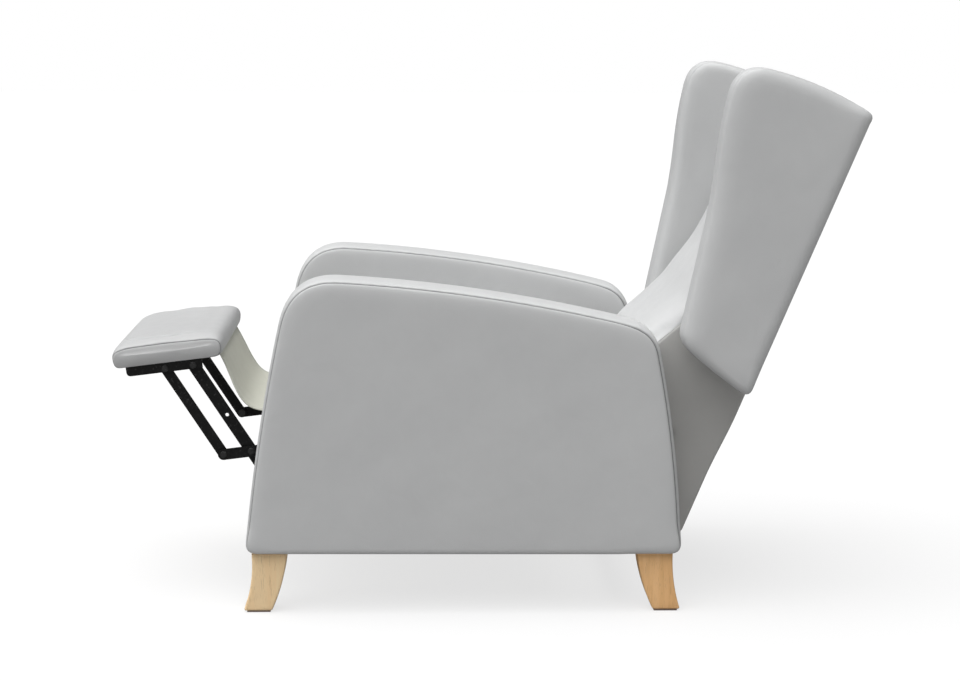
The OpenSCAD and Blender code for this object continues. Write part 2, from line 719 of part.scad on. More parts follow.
// Stretches of the bracket's screw tabs, clear of the links' ends
bracket_tabs = [[-74, -16], [17, 37]];
module footrest_bracket(side) {
  color(steel) difference() {
    on_side(side) in_footrest() {
      across(outer_x, outer_x + plate_t) polygon(outline(
        [
          [bracket_behind, footrest_lift - bracket_h], [bracket_behind, footrest_lift],
          [-bracket_ahead, footrest_lift], [-bracket_ahead, footrest_lift - bracket_h]
        ],
        [bracket_ease, bracket_ease, bracket_ease, bracket_nose], [0, 0, 0, 0], 6, 1
      ));
      for (tab = bracket_tabs)
        translate([outer_x - bracket_flange, tab[0], footrest_lift - tab_t])
          cube([bracket_flange + plate_t / 2, tab[1] - tab[0], tab_t]);
    }
    on_side(side) bore(outer_x, plate_t, stay_top, pin_fit);
    on_side(side) bore(outer_x, plate_t, lift_top, pin_fit);
  }
}
module bracket_pins() {
  color("silver") for (side = [1, -1]) for (p = [stay_top, lift_top])
    on_side(side) pin(inner_link_x - pin_head_t - seat_gap, outer_x + plate_t, p, true, false);
}
// Width of the footrest's board, so that it covers the brackets
board_w = 2 * (outer_x + plate_t + link_gap);
module footrest_board_box(grow) {
  translate([-board_w / 2 - grow, -footrest_ahead + board_inset - grow, footrest_lift - grow])
    cube([board_w + 2 * grow, footrest_depth - 2 * board_inset + 2 * grow, board_t + 2 * grow]);
}
module footrest_board() {
  color(timber) in_footrest() footrest_board_box(0);
}
// Footrest stations from front to rear: share of the depth and of the side's height
footrest_station_shares = [
  [0, 0.55], [0.02, 0.85], [0.05, 0.97], [0.1, 1], [0.25, 1], [0.5, 1], [0.75, 1], [0.9, 1],
  [0.95, 0.97], [0.98, 0.85], [1, 0.55]
];
// Drop of the footrest's half width at distance d from its front or rear
function corner_in(d) = d > footrest_corner ? 0
  : footrest_corner - sqrt(footrest_corner ^ 2 - (footrest_corner - d) ^ 2);
module footrest_pad() {
  color(leather) in_footrest() difference() {
    skin([for (i = [len(footrest_station_shares) - 1:-1:0]) let (
        s = footrest_station_shares[i], d = s[0] * footrest_depth,
        half = footrest_w / 2 - corner_in(min(d, footrest_depth - d)) / 2,
        rise = footrest_side * (1 - s[1]) / 2
      ) [for (p = section(half, footrest_lift + rise, footrest_lift + footrest_side - rise,
          footrest_crown * (4 * s[0] * (1 - s[0])) ^ 0.5, footrest_edge, 1))
        [p[0], d - footrest_ahead, p[1]]]]);
    footrest_board_box(seat_gap);
  }
}
// Path of the flexible panel from the footrest's rear to the seat's front edge, as shares
// of the way between them along Y and Z
flap_shares = [
  [0, 1], [0.026, 0.816], [0.107, 0.643], [0.189, 0.458], [0.259, 0.325], [0.355, 0.179],
  [0.5, 0.063], [0.685, 0.015], [0.85, 0], [1, 0]
];
module footrest_flap() {
  rear = stay_top + (footrest_depth - footrest_ahead) * tilt_dir;
  start = rear + [seat_gap, footrest_lift + flap_t];
  end = [seat_front_y + seat_nose / 2, seat_frame_z - seat_gap - flap_t];
  path = [for (s = flap_shares) [start[0] + (end - start)[0] * s[0], end[1] + (start - end)[1] * s[1]]];
  n = len(path);
  color(leather) across(-flap_w / 2, flap_w / 2) polygon(concat(
    path,
    [for (i = [n - 1:-1:0]) let (d = unit(path[min(i + 1, n - 1)] - path[max(i - 1, 0)]))
      path[i] + flap_t * [-d[1], d[0]]]
  ));
}

// Depth of the frame inside the back
post_rear = back_rear - back_wall - seat_gap;
post_front = back_split + seat_gap + strap_t;
post_low = -back_below + back_end_wall + seat_gap;
post_top = back_h - back_below - back_end_wall - seat_gap;
module back_post(side) {
  color(timber) on_side(side) in_back()
    translate([outer_x - post_w, post_front, post_low])
      cube([post_w, post_rear - post_front, post_top - post_low]);
}
module back_rails() {
  half = outer_x - post_w;
  color(timber) in_back() for (z = [post_low, post_top - back_rail_h])
    translate([-half, post_front, z]) cube([2 * half, post_rear - post_front, back_rail_h]);
}
module back_webbing() {
  span = post_top - post_low - 2 * back_rail_h - strap_w;
  color("dimgray") in_back() for (k = [0:strap_count - 1])
    translate([-outer_x, post_front - strap_t, post_low + back_rail_h + span * k / (strap_count - 1)])
      cube([2 * outer_x, strap_t, strap_w]);
}
// Back cushion stations from its foot to its head: share of the back's height and of the
// cushion's greatest depth
back_station_shares = [
  [0.018, 0.05], [0.043, 0.15], [0.149, 0.47], [0.23, 0.68], [0.271, 0.855], [0.296, 0.965],
  [0.317, 1], [0.339, 0.99], [0.366, 0.955], [0.397, 0.87], [0.437, 0.766], [0.484, 0.645],
  [0.517, 0.589], [0.55, 0.535], [0.584, 0.487], [0.62, 0.458], [0.659, 0.44], [0.749, 0.4],
  [0.818, 0.37], [0.909, 0.34], [0.972, 0.29], [0.995, 0.19]
];
// Share of the cushion's depth that its crown may take where it is thin
crown_limit_share = 0.45;
// How far the cushion is cut back beside the hinge, where the side plates swing in
hinge_pocket_x = outer_x - pin_head_t - 2 * seat_gap;
hinge_pocket_low = 60;
hinge_pocket_slope = 36;
// Clearance of that cut round the side plate's end
hinge_pocket_gap = 3;
// Plate that carries the back on its hinge, grown by a clearance
module bracket_plate(grow) {
  m = plate_margin - layer_gap + grow;
  x0 = outer_x - grow;
  x1 = outer_x + plate_t + grow;
  across(x0, x1) polygon([
    [0, -m], [post_front, -2 * m], [post_rear, -2 * m], [post_rear, 2 * m], [post_front, 2 * m], [0, m]
  ]);
  rod(x0, x1, [0, 0], m);
}
// Radius of the back cushion's front edges
back_edge = 14;
module back_cushion() {
  color(leather) in_back() difference() {
    skin([for (s = back_station_shares) let (
        z = s[0] * back_h - back_below, deep = s[1] * lumbar_depth,
        crown = min(back_crown, crown_limit_share * deep)
      ) [for (p = section(back_w / 2, -back_split, deep - crown - back_split, crown, back_edge, 1))
        [-p[0], -p[1], z]]]);
    for (side = [1, -1]) on_side(side) {
      bracket_plate(seat_gap);
      rod(hinge_pocket_x, back_w, [0, 0], plate_margin + hinge_pocket_gap);
      across(hinge_pocket_x, back_w) polygon([
        [0, -hinge_pocket_low], [0, plate_margin + hinge_pocket_gap],
        [-lumbar_depth, plate_margin + hinge_pocket_gap + lumbar_depth * tan(hinge_pocket_slope)],
        [-lumbar_depth, -hinge_pocket_low]
      ]);
    }
  }
}
// Inside of the rear cover's walls across the chair
rear_cover_in = outer_x + plate_t + seat_gap;
// Radius of the rear cover's rounded rear edges
rear_cover_edge = 7;
module back_rear_cover() {
  x = back_w / 2;
  e = rear_cover_edge;
  y0 = back_split + seat_gap;
  color(leather) in_back() difference() {
    translate([0, 0, -back_below]) linear_extrude(back_h) polygon([
      [-x, y0], [x, y0], [x, back_rear - e], [x - e, back_rear], [-x + e, back_rear], [-x, back_rear - e]
    ]);
    translate([-rear_cover_in, y0 - overrun, post_low - seat_gap])
      cube([2 * rear_cover_in, post_rear + seat_gap - y0 + overrun, post_top - post_low + 2 * seat_gap]);
  }
}

wing_outline = outline(
  [
    [wing_rear, wing_bottom], [wing_rear, wing_top_h + wing_top_rise],
    [-wing_top_front, wing_top_h], [-wing_waist_front, wing_waist_h],
    [-wing_foot_front, wing_bottom + wing_foot_rise]
  ],
  [20, 14, 66, 60, 32], [0, 15, 8, 0, 13]
);
// Place of the board inside a wing, from the wing's rear edge and from its ends
wing_board_rear = 14;
wing_board_d = 62;
wing_board_end = 22;
module wing_board_box(grow) {
  z0 = wing_bottom + wing_board_end;
  z1 = wing_top_h - wing_board_end;
  translate([wing_x0 - grow * overrun, wing_rear - wing_board_rear - wing_board_d - grow, z0 - grow])
    cube([wing_board_t + grow * (1 + overrun), wing_board_d + 2 * grow, z1 - z0 + 2 * grow]);
}
module wing_cover(side) {
  color(leather) on_side(side) in_back() difference() {
    padded_panel(wing_outline, wing_x0, overall_w / 2, wing_edge, 0, wing_crown,
      wing_flare, wing_flare_start);
    wing_board_box(seat_gap);
  }
}
module wing_board(side) {
  color(timber) on_side(side) in_back() wing_board_box(0);
}
module back_bracket(side) {
  color(steel) difference() {
    on_side(side) in_back() bracket_plate(0);
    on_side(side) bore(outer_x, plate_t, hinge, pin_fit);
  }
}
module hinge_pins() {
  color("silver") for (side = [1, -1])
    on_side(side) pin(outer_x - pin_head_t - seat_gap, side_x + plate_t + pin_head_t, hinge, true, true);
}

arm_cover(1);  // arm_left_cover
arm_cover(-1);  // arm_right_cover
arm_panel(1);  // arm_left_panel
arm_panel(-1);  // arm_right_panel
arm_sill(1);  // arm_left_sill
arm_sill(-1);  // arm_right_sill
leg(1, front_leg_outline, leg_bolt_places[0]);  // front_left_leg
leg(-1, front_leg_outline, leg_bolt_places[0]);  // front_right_leg
leg(1, rear_leg_outline, leg_bolt_places[1]);  // rear_left_leg
leg(-1, rear_leg_outline, leg_bolt_places[1]);  // rear_right_leg
foot_glides();
leg_bolts();
cross_rail(front_rail_y);  // front_cross_rail
cross_rail(rear_rail_y);  // rear_cross_rail
base_plate(1);  // base_plate_left
base_plate(-1);  // base_plate_right
swing_base_pins();
swing_link(1, front_swing_low);  // front_swing_link_left
swing_link(-1, front_swing_low);  // front_swing_link_right
swing_link(1, rear_swing_low);  // rear_swing_link_left
swing_link(-1, rear_swing_low);  // rear_swing_link_right
side_plate(1);  // side_plate_left
side_plate(-1);  // side_plate_right
seat_rail(1);  // seat_rail_left
seat_rail(-1);  // seat_rail_right
seat_cross_rails();
seat_springs();
seat_cushion();
carriage_pins();
torque_tube();
front_link(1);  // front_link_left
front_link(-1);  // front_link_right
link_pins();
rear_link(1);  // rear_link_left
rear_link(-1);  // rear_link_right
tail_pins();
lift_link(1);  // lift_link_left
lift_link(-1);  // lift_link_right
stay_link(1);  // stay_link_left
stay_link(-1);  // stay_link_right
footrest_bracket(1);  // footrest_bracket_left
footrest_bracket(-1);  // footrest_bracket_right
bracket_pins();
footrest_board();
footrest_pad();
footrest_flap();
back_post(1);  // back_post_left
back_post(-1);  // back_post_right
back_rails();
back_webbing();
back_cushion();
back_rear_cover();
wing_cover(1);  // wing_left_cover
wing_cover(-1);  // wing_right_cover
wing_board(1);  // wing_left_board
wing_board(-1);  // wing_right_board
back_bracket(1);  // back_bracket_left
back_bracket(-1);  // back_bracket_right
hinge_pins();
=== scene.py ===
"""Looks of a wingback recliner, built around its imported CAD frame.

The chair faces -Y, the sitter's left is +X and the floor is at Z = 0. All lengths are metres.
The padded pieces are detailed meshes that stand for the CAD solids; the steel, the hidden timber
and the glides are the CAD solids themselves with procedural finishes.
"""

import json
import logging
import math
from dataclasses import dataclass, field, replace
from enum import Enum
from typing import Callable, Sequence

import bpy
import numpy as np
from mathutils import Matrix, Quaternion, Vector

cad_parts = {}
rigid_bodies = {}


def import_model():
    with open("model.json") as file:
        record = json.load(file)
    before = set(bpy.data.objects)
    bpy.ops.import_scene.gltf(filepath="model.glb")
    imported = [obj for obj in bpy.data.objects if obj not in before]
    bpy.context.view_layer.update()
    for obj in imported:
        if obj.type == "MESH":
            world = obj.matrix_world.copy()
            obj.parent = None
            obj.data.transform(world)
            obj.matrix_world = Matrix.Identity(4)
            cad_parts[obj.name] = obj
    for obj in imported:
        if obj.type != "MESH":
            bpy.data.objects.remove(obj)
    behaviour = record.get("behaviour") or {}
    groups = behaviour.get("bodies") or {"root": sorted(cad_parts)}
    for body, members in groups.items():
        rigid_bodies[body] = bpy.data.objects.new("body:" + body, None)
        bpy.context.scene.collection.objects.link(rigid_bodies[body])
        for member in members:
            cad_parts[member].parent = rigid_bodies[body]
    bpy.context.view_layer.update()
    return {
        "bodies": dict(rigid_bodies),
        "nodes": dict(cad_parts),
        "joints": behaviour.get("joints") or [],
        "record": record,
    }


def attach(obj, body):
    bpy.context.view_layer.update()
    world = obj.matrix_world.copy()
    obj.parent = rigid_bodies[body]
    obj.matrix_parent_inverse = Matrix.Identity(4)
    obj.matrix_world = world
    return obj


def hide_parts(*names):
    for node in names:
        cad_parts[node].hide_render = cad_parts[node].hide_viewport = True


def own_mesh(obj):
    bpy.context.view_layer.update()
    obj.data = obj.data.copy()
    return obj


logging.basicConfig(level=logging.INFO, format="%(name)s: %(message)s")
LOG = logging.getLogger("recliner")

Array = np.ndarray
Object = bpy.types.Object
Node = bpy.types.Node
Socket = bpy.types.NodeSocket
Tree = bpy.types.NodeTree
Triple = tuple[float, float, float]
Profile = list[tuple[float, float, float, float]]  # rows of a Slab's profile
Change = Callable[[Array], Array]
Section = Callable[[float, float], tuple[Array, Array]]

WHITE = (1.0, 1.0, 1.0)
# Colour of the dark seams, and of the painted shade that the seam attribute also carries.
SEAM_AND_SHADE_COLOUR = (0.045, 0.046, 0.048)
PORE_COLOUR = (0.16, 0.09, 0.045)
WORN_COLOUR = (0.55, 0.44, 0.33)
DUST_COLOUR = (0.33, 0.32, 0.3)
SPECK_COLOUR = (0.5, 0.5, 0.5)


class Side(Enum):
    """The chair's two sides, as the sign of their X."""

    LEFT = 1
    RIGHT = -1

    @property
    def word(self) -> str:
        """The side's name as the CAD nodes spell it."""
        return self.name.lower()


class Slot(Enum):
    """Material slots of the record."""

    UPHOLSTERY = "upholstery"
    FLAP = "flap_cloth"
    LEG_WOOD = "leg_wood"
    TIMBER = "frame_wood"
    STEEL = "black_steel"
    PIN = "pin_steel"
    GLIDE = "glide"
    WEBBING = "webbing"


class Plane(Enum):
    """How a slab's outline lies: across X in Y and Z, or level in X and Y."""

    UPRIGHT = "upright"
    LEVEL = "level"


# Shapes


def smooth(t: Array | float) -> Array:
    """Smooth step from 0 to 1 over t from 0 to 1."""
    c = np.clip(t, 0.0, 1.0)
    return c * c * (3.0 - 2.0 * c)


def ramp(x: Array, start: float, width: float) -> Array:
    """Smooth step from 0 at start to 1 at start + width, which runs downwards below zero."""
    return smooth((x - start) / width)


def unit(v: Array) -> Array:
    """Vectors along their last axis, scaled to length one."""
    return v / np.maximum(np.linalg.norm(v, axis=-1, keepdims=True), 1e-12)


def ripple(p: Array, length: float, seed: float) -> Array:
    """Smooth repeatable noise from -1 to 1.

    Args:
        p: Points, one to a row.
        length: Length of its waves, in metres.
        seed: Shifts the pattern.

    Returns:
        One value for each point.
    """
    q = np.asarray(p, float) * (2.0 * math.pi / length)
    total = np.zeros(len(q))
    for i, (a, b, c) in enumerate(((1.0, 0.63, 0.31), (-0.52, 1.07, 0.77), (0.81, -0.44, 1.13))):
        phase = q[:, 0] * a + q[:, 1] * b + (q[:, 2] * c if q.shape[1] > 2 else 0.0)
        total += np.sin(phase * (1.0 + 0.37 * i) + seed * (1.7 + i))
    return total / 3.0


def bowed(a: Array, b: Array, bow: float, t: float) -> Array:
    """Point at share t of the edge from a to b, bowed outwards on its right-hand side."""
    n = unit(np.array([(b - a)[1], -(b - a)[0]]))
    return a + (b - a) * t + n * bow * 4.0 * t * (1.0 - t)


def bowed_dir(a: Array, b: Array, bow: float, t: float) -> Array:
    """Direction, at share t, of the edge that bowed draws."""
    n = unit(np.array([(b - a)[1], -(b - a)[0]]))
    return unit((b - a) + n * bow * 4.0 * (1.0 - 2.0 * t))


@dataclass(frozen=True)
class Outline:
    """Closed outline through corners, anticlockwise, with bowed edges and rounded corners."""

    corners: tuple[tuple[float, float], ...]
    reaches: tuple[float, ...]
    bows: tuple[float, ...]

    def points(self, spacing: float, turns: int = 14, steps: int = 24) -> Array:
        """Points along the outline at an even spacing.

        Args:
            spacing: Distance between two points.
            turns: Points that a corner is drawn with first.
            steps: Points that an edge is drawn with first.

        Returns:
            Points, one to a row.
        """
        n = len(self.corners)
        c = [np.array(p, float) for p in self.corners]
        rough = []
        for i in range(n):
            a, h, b = c[i - 1], c[i], c[(i + 1) % n]
            t_in = 1.0 - self.reaches[i] / np.linalg.norm(h - a)
            t_out = self.reaches[i] / np.linalg.norm(b - h)
            t_end = 1.0 - self.reaches[(i + 1) % n] / np.linalg.norm(b - h)
            p, r = bowed(a, h, self.bows[i - 1], t_in), bowed(h, b, self.bows[i], t_out)
            d = bowed_dir(a, h, self.bows[i - 1], t_in)
            e = bowed_dir(h, b, self.bows[i], t_out)
            cross = d[0] * e[1] - d[1] * e[0]
            w = r - p
            q = (p + r) / 2 if abs(cross) < 1e-3 else p + d * (w[0] * e[1] - w[1] * e[0]) / cross
            for k in range(turns + 1):
                t = k / turns
                rough.append(p * (1 - t) ** 2 + q * 2 * t * (1 - t) + r * t * t)
            for k in range(1, steps):
                rough.append(bowed(h, b, self.bows[i], t_out + (t_end - t_out) * k / steps))
        loop = np.array(rough + [rough[0]])
        return spaced(loop, max(24, int(round(steps_of(loop).sum() / spacing))), closed=True)


def steps_of(line: Array) -> Array:
    """Length of each step of a line."""
    return np.linalg.norm(np.diff(line, axis=0), axis=1)


def spaced(line: Array, count: int, closed: bool) -> Array:
    """Places points along a line at an even spacing.

    Args:
        line: Points of the line.
        count: How many points are placed.
        closed: Whether the line ends where it starts, so that its end is left out.

    Returns:
        The points, one to a row.
    """
    arc = np.concatenate([[0.0], np.cumsum(steps_of(line))])
    at = np.linspace(0.0, arc[-1], count, endpoint=not closed)
    return np.stack([np.interp(at, arc, line[:, k]) for k in (0, 1)], axis=1)


def normals_out(o: Array, passes: int = 2) -> Array:
    """Outward normals of an anticlockwise outline, softened over their neighbours.

    Args:
        o: The outline.
        passes: How many times they are softened.

    Returns:
        One normal for each point.
    """
    t = np.roll(o, -1, axis=0) - np.roll(o, 1, axis=0)
    n = unit(np.stack([t[:, 1], -t[:, 0]], axis=1))
    for _ in range(passes):
        n = unit(n * 2.0 + np.roll(n, 1, axis=0) + np.roll(n, -1, axis=0))
    return n


def arc_of(o: Array) -> Array:
    """Distance along a closed outline at each of its points."""
    return np.concatenate([[0.0], np.cumsum(steps_of(o))])


def drawn_in(o: Array, n: Array, depth: Array, deepest: float) -> Array:
    """Draws an outline in, and rounds it where it would fold over itself in a corner.

    Args:
        o: Outline.
        n: Its outward normals.
        depth: How far each of its points is drawn in.
        deepest: Depth that the rounding is set by.

    Returns:
        The inner outline.
    """
    p = o - n * depth[:, None]
    step = float(np.linalg.norm(np.roll(o, -1, axis=0) - o, axis=1).mean())
    for _ in range(min(48, int(1.2 * (deepest / step) ** 2))):
        p = (2.0 * p + np.roll(p, 1, axis=0) + np.roll(p, -1, axis=0)) / 4.0
    return p


def ring_object(name: str, rings: Array, seams: Array, thin: bool = False) -> Object:
    """Closed mesh over rings of points, capped at its first and last ring.

    Args:
        name: Name of the object.
        rings: Points of each ring, as rings by points by 3.
        seams: How much of a seam each point is, from 0 to 1.
        thin: Whether each ring is a strip, there and back, that is capped from side to side.

    Returns:
        The object, linked to the scene.
    """
    m, n, _ = rings.shape
    i, k = np.meshgrid(np.arange(n), np.arange(m - 1))
    j = (i + 1) % n
    quads = np.stack([k * n + i, k * n + j, (k + 1) * n + j, (k + 1) * n + i], axis=-1)
    faces = quads.reshape(-1, 4).tolist()
    points = rings.reshape(-1, 3)
    if thin:
        last = (m - 1) * n
        pairs = [(a, a + 1, n - 2 - a, n - 1 - a) for a in range(n // 2 - 1)]
        faces += [[d, c, b, a] for a, b, c, d in pairs]
        faces += [[last + a, last + b, last + c, last + d] for a, b, c, d in pairs]
    else:
        last = (m - 1) * n
        faces += [[m * n, (a + 1) % n, a] for a in range(n)]
        faces += [[m * n + 1, last + a, last + (a + 1) % n] for a in range(n)]
        points = np.concatenate([points, [rings[0].mean(axis=0), rings[-1].mean(axis=0)]])
    mesh = bpy.data.meshes.new(name)
    mesh.from_pydata(points.tolist(), [], faces)
    mesh.update()
    values = np.zeros(len(points), np.float32)
    values[: seams.size] = seams.reshape(-1)
    mesh.attributes.new("seam", "FLOAT", "POINT").data.foreach_set("value", values)
    obj = bpy.data.objects.new(name, mesh)
    bpy.context.scene.collection.objects.link(obj)
    face_outward(obj)
    mesh.shade_smooth()
    return obj


def face_outward(obj: Object) -> None:
    """Turns a closed mesh's faces outwards if its volume comes out below zero.

    Args:
        obj: The mesh's object.
    """
    mesh = obj.data
    mesh.calc_loop_triangles()
    co = read_points(obj)
    tri = np.array([t.vertices for t in mesh.loop_triangles])
    a, b, c = co[tri[:, 0]], co[tri[:, 1]], co[tri[:, 2]]
    if np.einsum("ij,ij->i", a, np.cross(b, c)).sum() < 0:
        mesh.flip_normals()


def profile_rows(
    rows: Sequence[tuple[float, ...]], low: float = 0.0, high: float = 1.0
) -> Profile:
    """Fills up a profile's short rows, and turns its places into shares and mm into metres.

    Args:
        rows: A place, how far the edge is drawn in and, at a seam, its groove and darkness.
        low: Place of the first face.
        high: Place of the second face.

    Returns:
        The profile.
    """
    full = [(*row, 0.0, 0.0)[:4] for row in rows]
    return [((at - low) / (high - low), i / 1000, g / 1000, dark) for at, i, g, dark in full]


@dataclass(frozen=True)
class Slab:
    """Padded slab over an outline, with rolled edges, seams and swollen faces.

    The profile runs from the rim of one face round the edge to the rim of the other. Each
    of its rows is a place through the thickness, from 0 to 1, how far the edge is drawn in
    there, how much further a seam draws it in, and how dark the seam is.
    """

    outline: Array
    profile: Profile
    low: Change
    high: Change
    plane: Plane = Plane.UPRIGHT
    crown_low: float = 0.0
    crown_high: float = 0.0
    rings: tuple[float, ...] = (0.06, 0.25, 0.42, 0.56, 0.68, 0.78, 0.86, 0.93)
    roll: Array | None = None
    seam: Array | None = None
    pucker: float = 0.0004
    pucker_length: float = 0.021
    pucker_reach: float = 0.008
    dent: float = 0.0006
    dent_length: float = 0.21
    seed: float = 1.0

    def build(self, name: str) -> Object:
        """Builds the slab's mesh.

        Args:
            name: Name of the object.

        Returns:
            The object.
        """
        o = self.outline
        roll = np.ones(len(o)) if self.roll is None else self.roll
        seam = np.ones(len(o)) if self.seam is None else self.seam
        n, middle, most = normals_out(o), o.mean(axis=0), float(roll.max())
        turn = arc_of(o) * (2 * math.pi / self.pucker_length)
        wave = np.sin(turn + 2.2 * ripple(o, 0.19, self.seed))
        drift = 0.0005 * ripple(o, 0.26, self.seed + 4.0)
        rings, seams = [], []

        def place(p: Array, share: Array | float, lift: Array | float, dark: Array) -> None:
            """Adds a ring.

            Args:
                p: Its outline.
                share: Its place through the thickness, from 0 to 1.
                lift: How far it is raised from there.
                dark: How much of a seam each of its points is.
            """
            lo, hi = self.low(p), self.high(p)
            h = lo + (hi - lo) * share + lift
            upright = self.plane is Plane.UPRIGHT
            rings.append(np.stack([h, *p.T] if upright else [*p.T, h], axis=1))
            seams.append(dark)

        def face(row: int, crown: float, seed: float, shares: Sequence[float]) -> None:
            """Adds the rings of a face.

            Args:
                row: Row of the profile at the face's rim.
                crown: How far the face's middle swells.
                seed: Shifts its dents.
                shares: Size of each ring, as a share of the rim.
            """
            at, inset = self.profile[row][:2]
            rim = drawn_in(o, n, inset * roll, inset * most)
            for s in shares:
                p = middle + (rim - middle) * s
                dent = self.dent * ripple(p, self.dent_length, seed) * (1 - s**6)
                place(p, at, crown * (1 - s * s) + dent, np.zeros(len(o)))

        face(0, -self.crown_low, self.seed, self.rings)
        sewn = [share for share, _, groove, _ in self.profile if groove > 0]
        deep = float(np.mean(self.high(o) - self.low(o)))
        for share, inset, groove, dark in self.profile:
            off = min((abs(share - at) for at in sewn), default=1.0) * deep
            near = math.exp(-((off / self.pucker_reach) ** 2))
            d = inset * roll + groove * seam + self.pucker * wave * seam * near
            shift = drift * seam * (1.0 if groove > 0 else 0.3)
            p = drawn_in(o, n, d, inset * most)
            thick = self.high(p) - self.low(p)
            place(p, share + shift / np.maximum(thick, 1e-4), 0.0, dark * seam)
        face(-1, self.crown_high, self.seed + 2.0, self.rings[::-1])
        return ring_object(name, np.array(rings), np.array(seams))


@dataclass(frozen=True)
class Stuffing:
    """Swells a closed cushion by simulated cloth under pressure."""

    voxel: float = 0.006
    pressure: float = 4.0
    frames: int = 20
    cap: Triple = (0.0035, 0.006, 0.020)

    def fill(self, obj: Object) -> None:
        """Remeshes a cushion, inflates it, caps how far it moves and smooths it once.

        Args:
            obj: The cushion, whose mesh is replaced.
        """
        voxels = obj.modifiers.new("voxels", "REMESH")
        voxels.mode = "VOXEL"
        voxels.voxel_size = self.voxel
        self.keep(obj)
        start = read_points(obj)
        cloth = obj.modifiers.new("cloth", "CLOTH")
        cloth.settings.use_pressure = True
        cloth.settings.uniform_pressure_force = self.pressure
        cloth.settings.effector_weights.gravity = 0.0
        cloth.point_cache.frame_end = self.frames
        scene = bpy.context.scene
        for frame in range(1, self.frames + 1):
            scene.frame_set(frame)
        self.keep(obj)
        scene.frame_set(1)
        cap = np.array(self.cap)
        move_points(obj, lambda p: start + cap * np.tanh((p - start) / cap))
        finer = obj.modifiers.new("finer", "SUBSURF")
        finer.levels = 1
        self.keep(obj)
        obj.data.shade_smooth()

    def keep(self, obj: Object) -> None:
        """Replaces an object's mesh by what its modifiers make of it.

        Args:
            obj: The object, which loses its modifiers.
        """
        seen = obj.evaluated_get(bpy.context.evaluated_depsgraph_get())
        mesh = bpy.data.meshes.new_from_object(seen)
        obj.modifiers.clear()
        obj.data = mesh


def read_points(obj: Object) -> Array:
    """Reads a mesh's points.

    Args:
        obj: The mesh's object.

    Returns:
        The points, one to a row.
    """
    co = np.zeros(len(obj.data.vertices) * 3)
    obj.data.vertices.foreach_get("co", co)
    return co.reshape(-1, 3)


def add_painted_shade(obj: Object, share: Array) -> None:
    """Paints shade onto a piece's leather by raising its seam attribute, which darkens it.

    Args:
        obj: The piece.
        share: The attribute's least value at each point, up to 1.
    """
    seam = obj.data.attributes["seam"]
    value = np.zeros(len(share), np.float32)
    seam.data.foreach_get("value", value)
    seam.data.foreach_set("value", np.maximum(value, share).astype(np.float32))


def mirrored(half: Profile) -> Profile:
    """A profile from one half of it, which runs from a face's rim to the middle of the edge."""
    return list(half) + [(1.0 - s, i, g, d) for s, i, g, d in reversed(half[:-1])]


def fixed(value: float) -> Change:
    """A face that lies at one place."""
    return lambda p: np.full(len(p), value)


def flipped(obj: Object, side: Side) -> Object:
    """Mirrors a left-hand mesh if it is for the right side.

    Args:
        obj: The mesh's object.
        side: The side that it is for.

    Returns:
        The same object.
    """
    if side is Side.RIGHT:
        for v in obj.data.vertices:
            v.co.x = -v.co.x
        obj.data.flip_normals()
        obj.data.update()
    return obj


def move_points(obj: Object, change: Change) -> None:
    """Replaces a mesh's points by what a function makes of them."""
    obj.data.vertices.foreach_set("co", change(read_points(obj)).reshape(-1))
    obj.data.update()


# Shader node groups


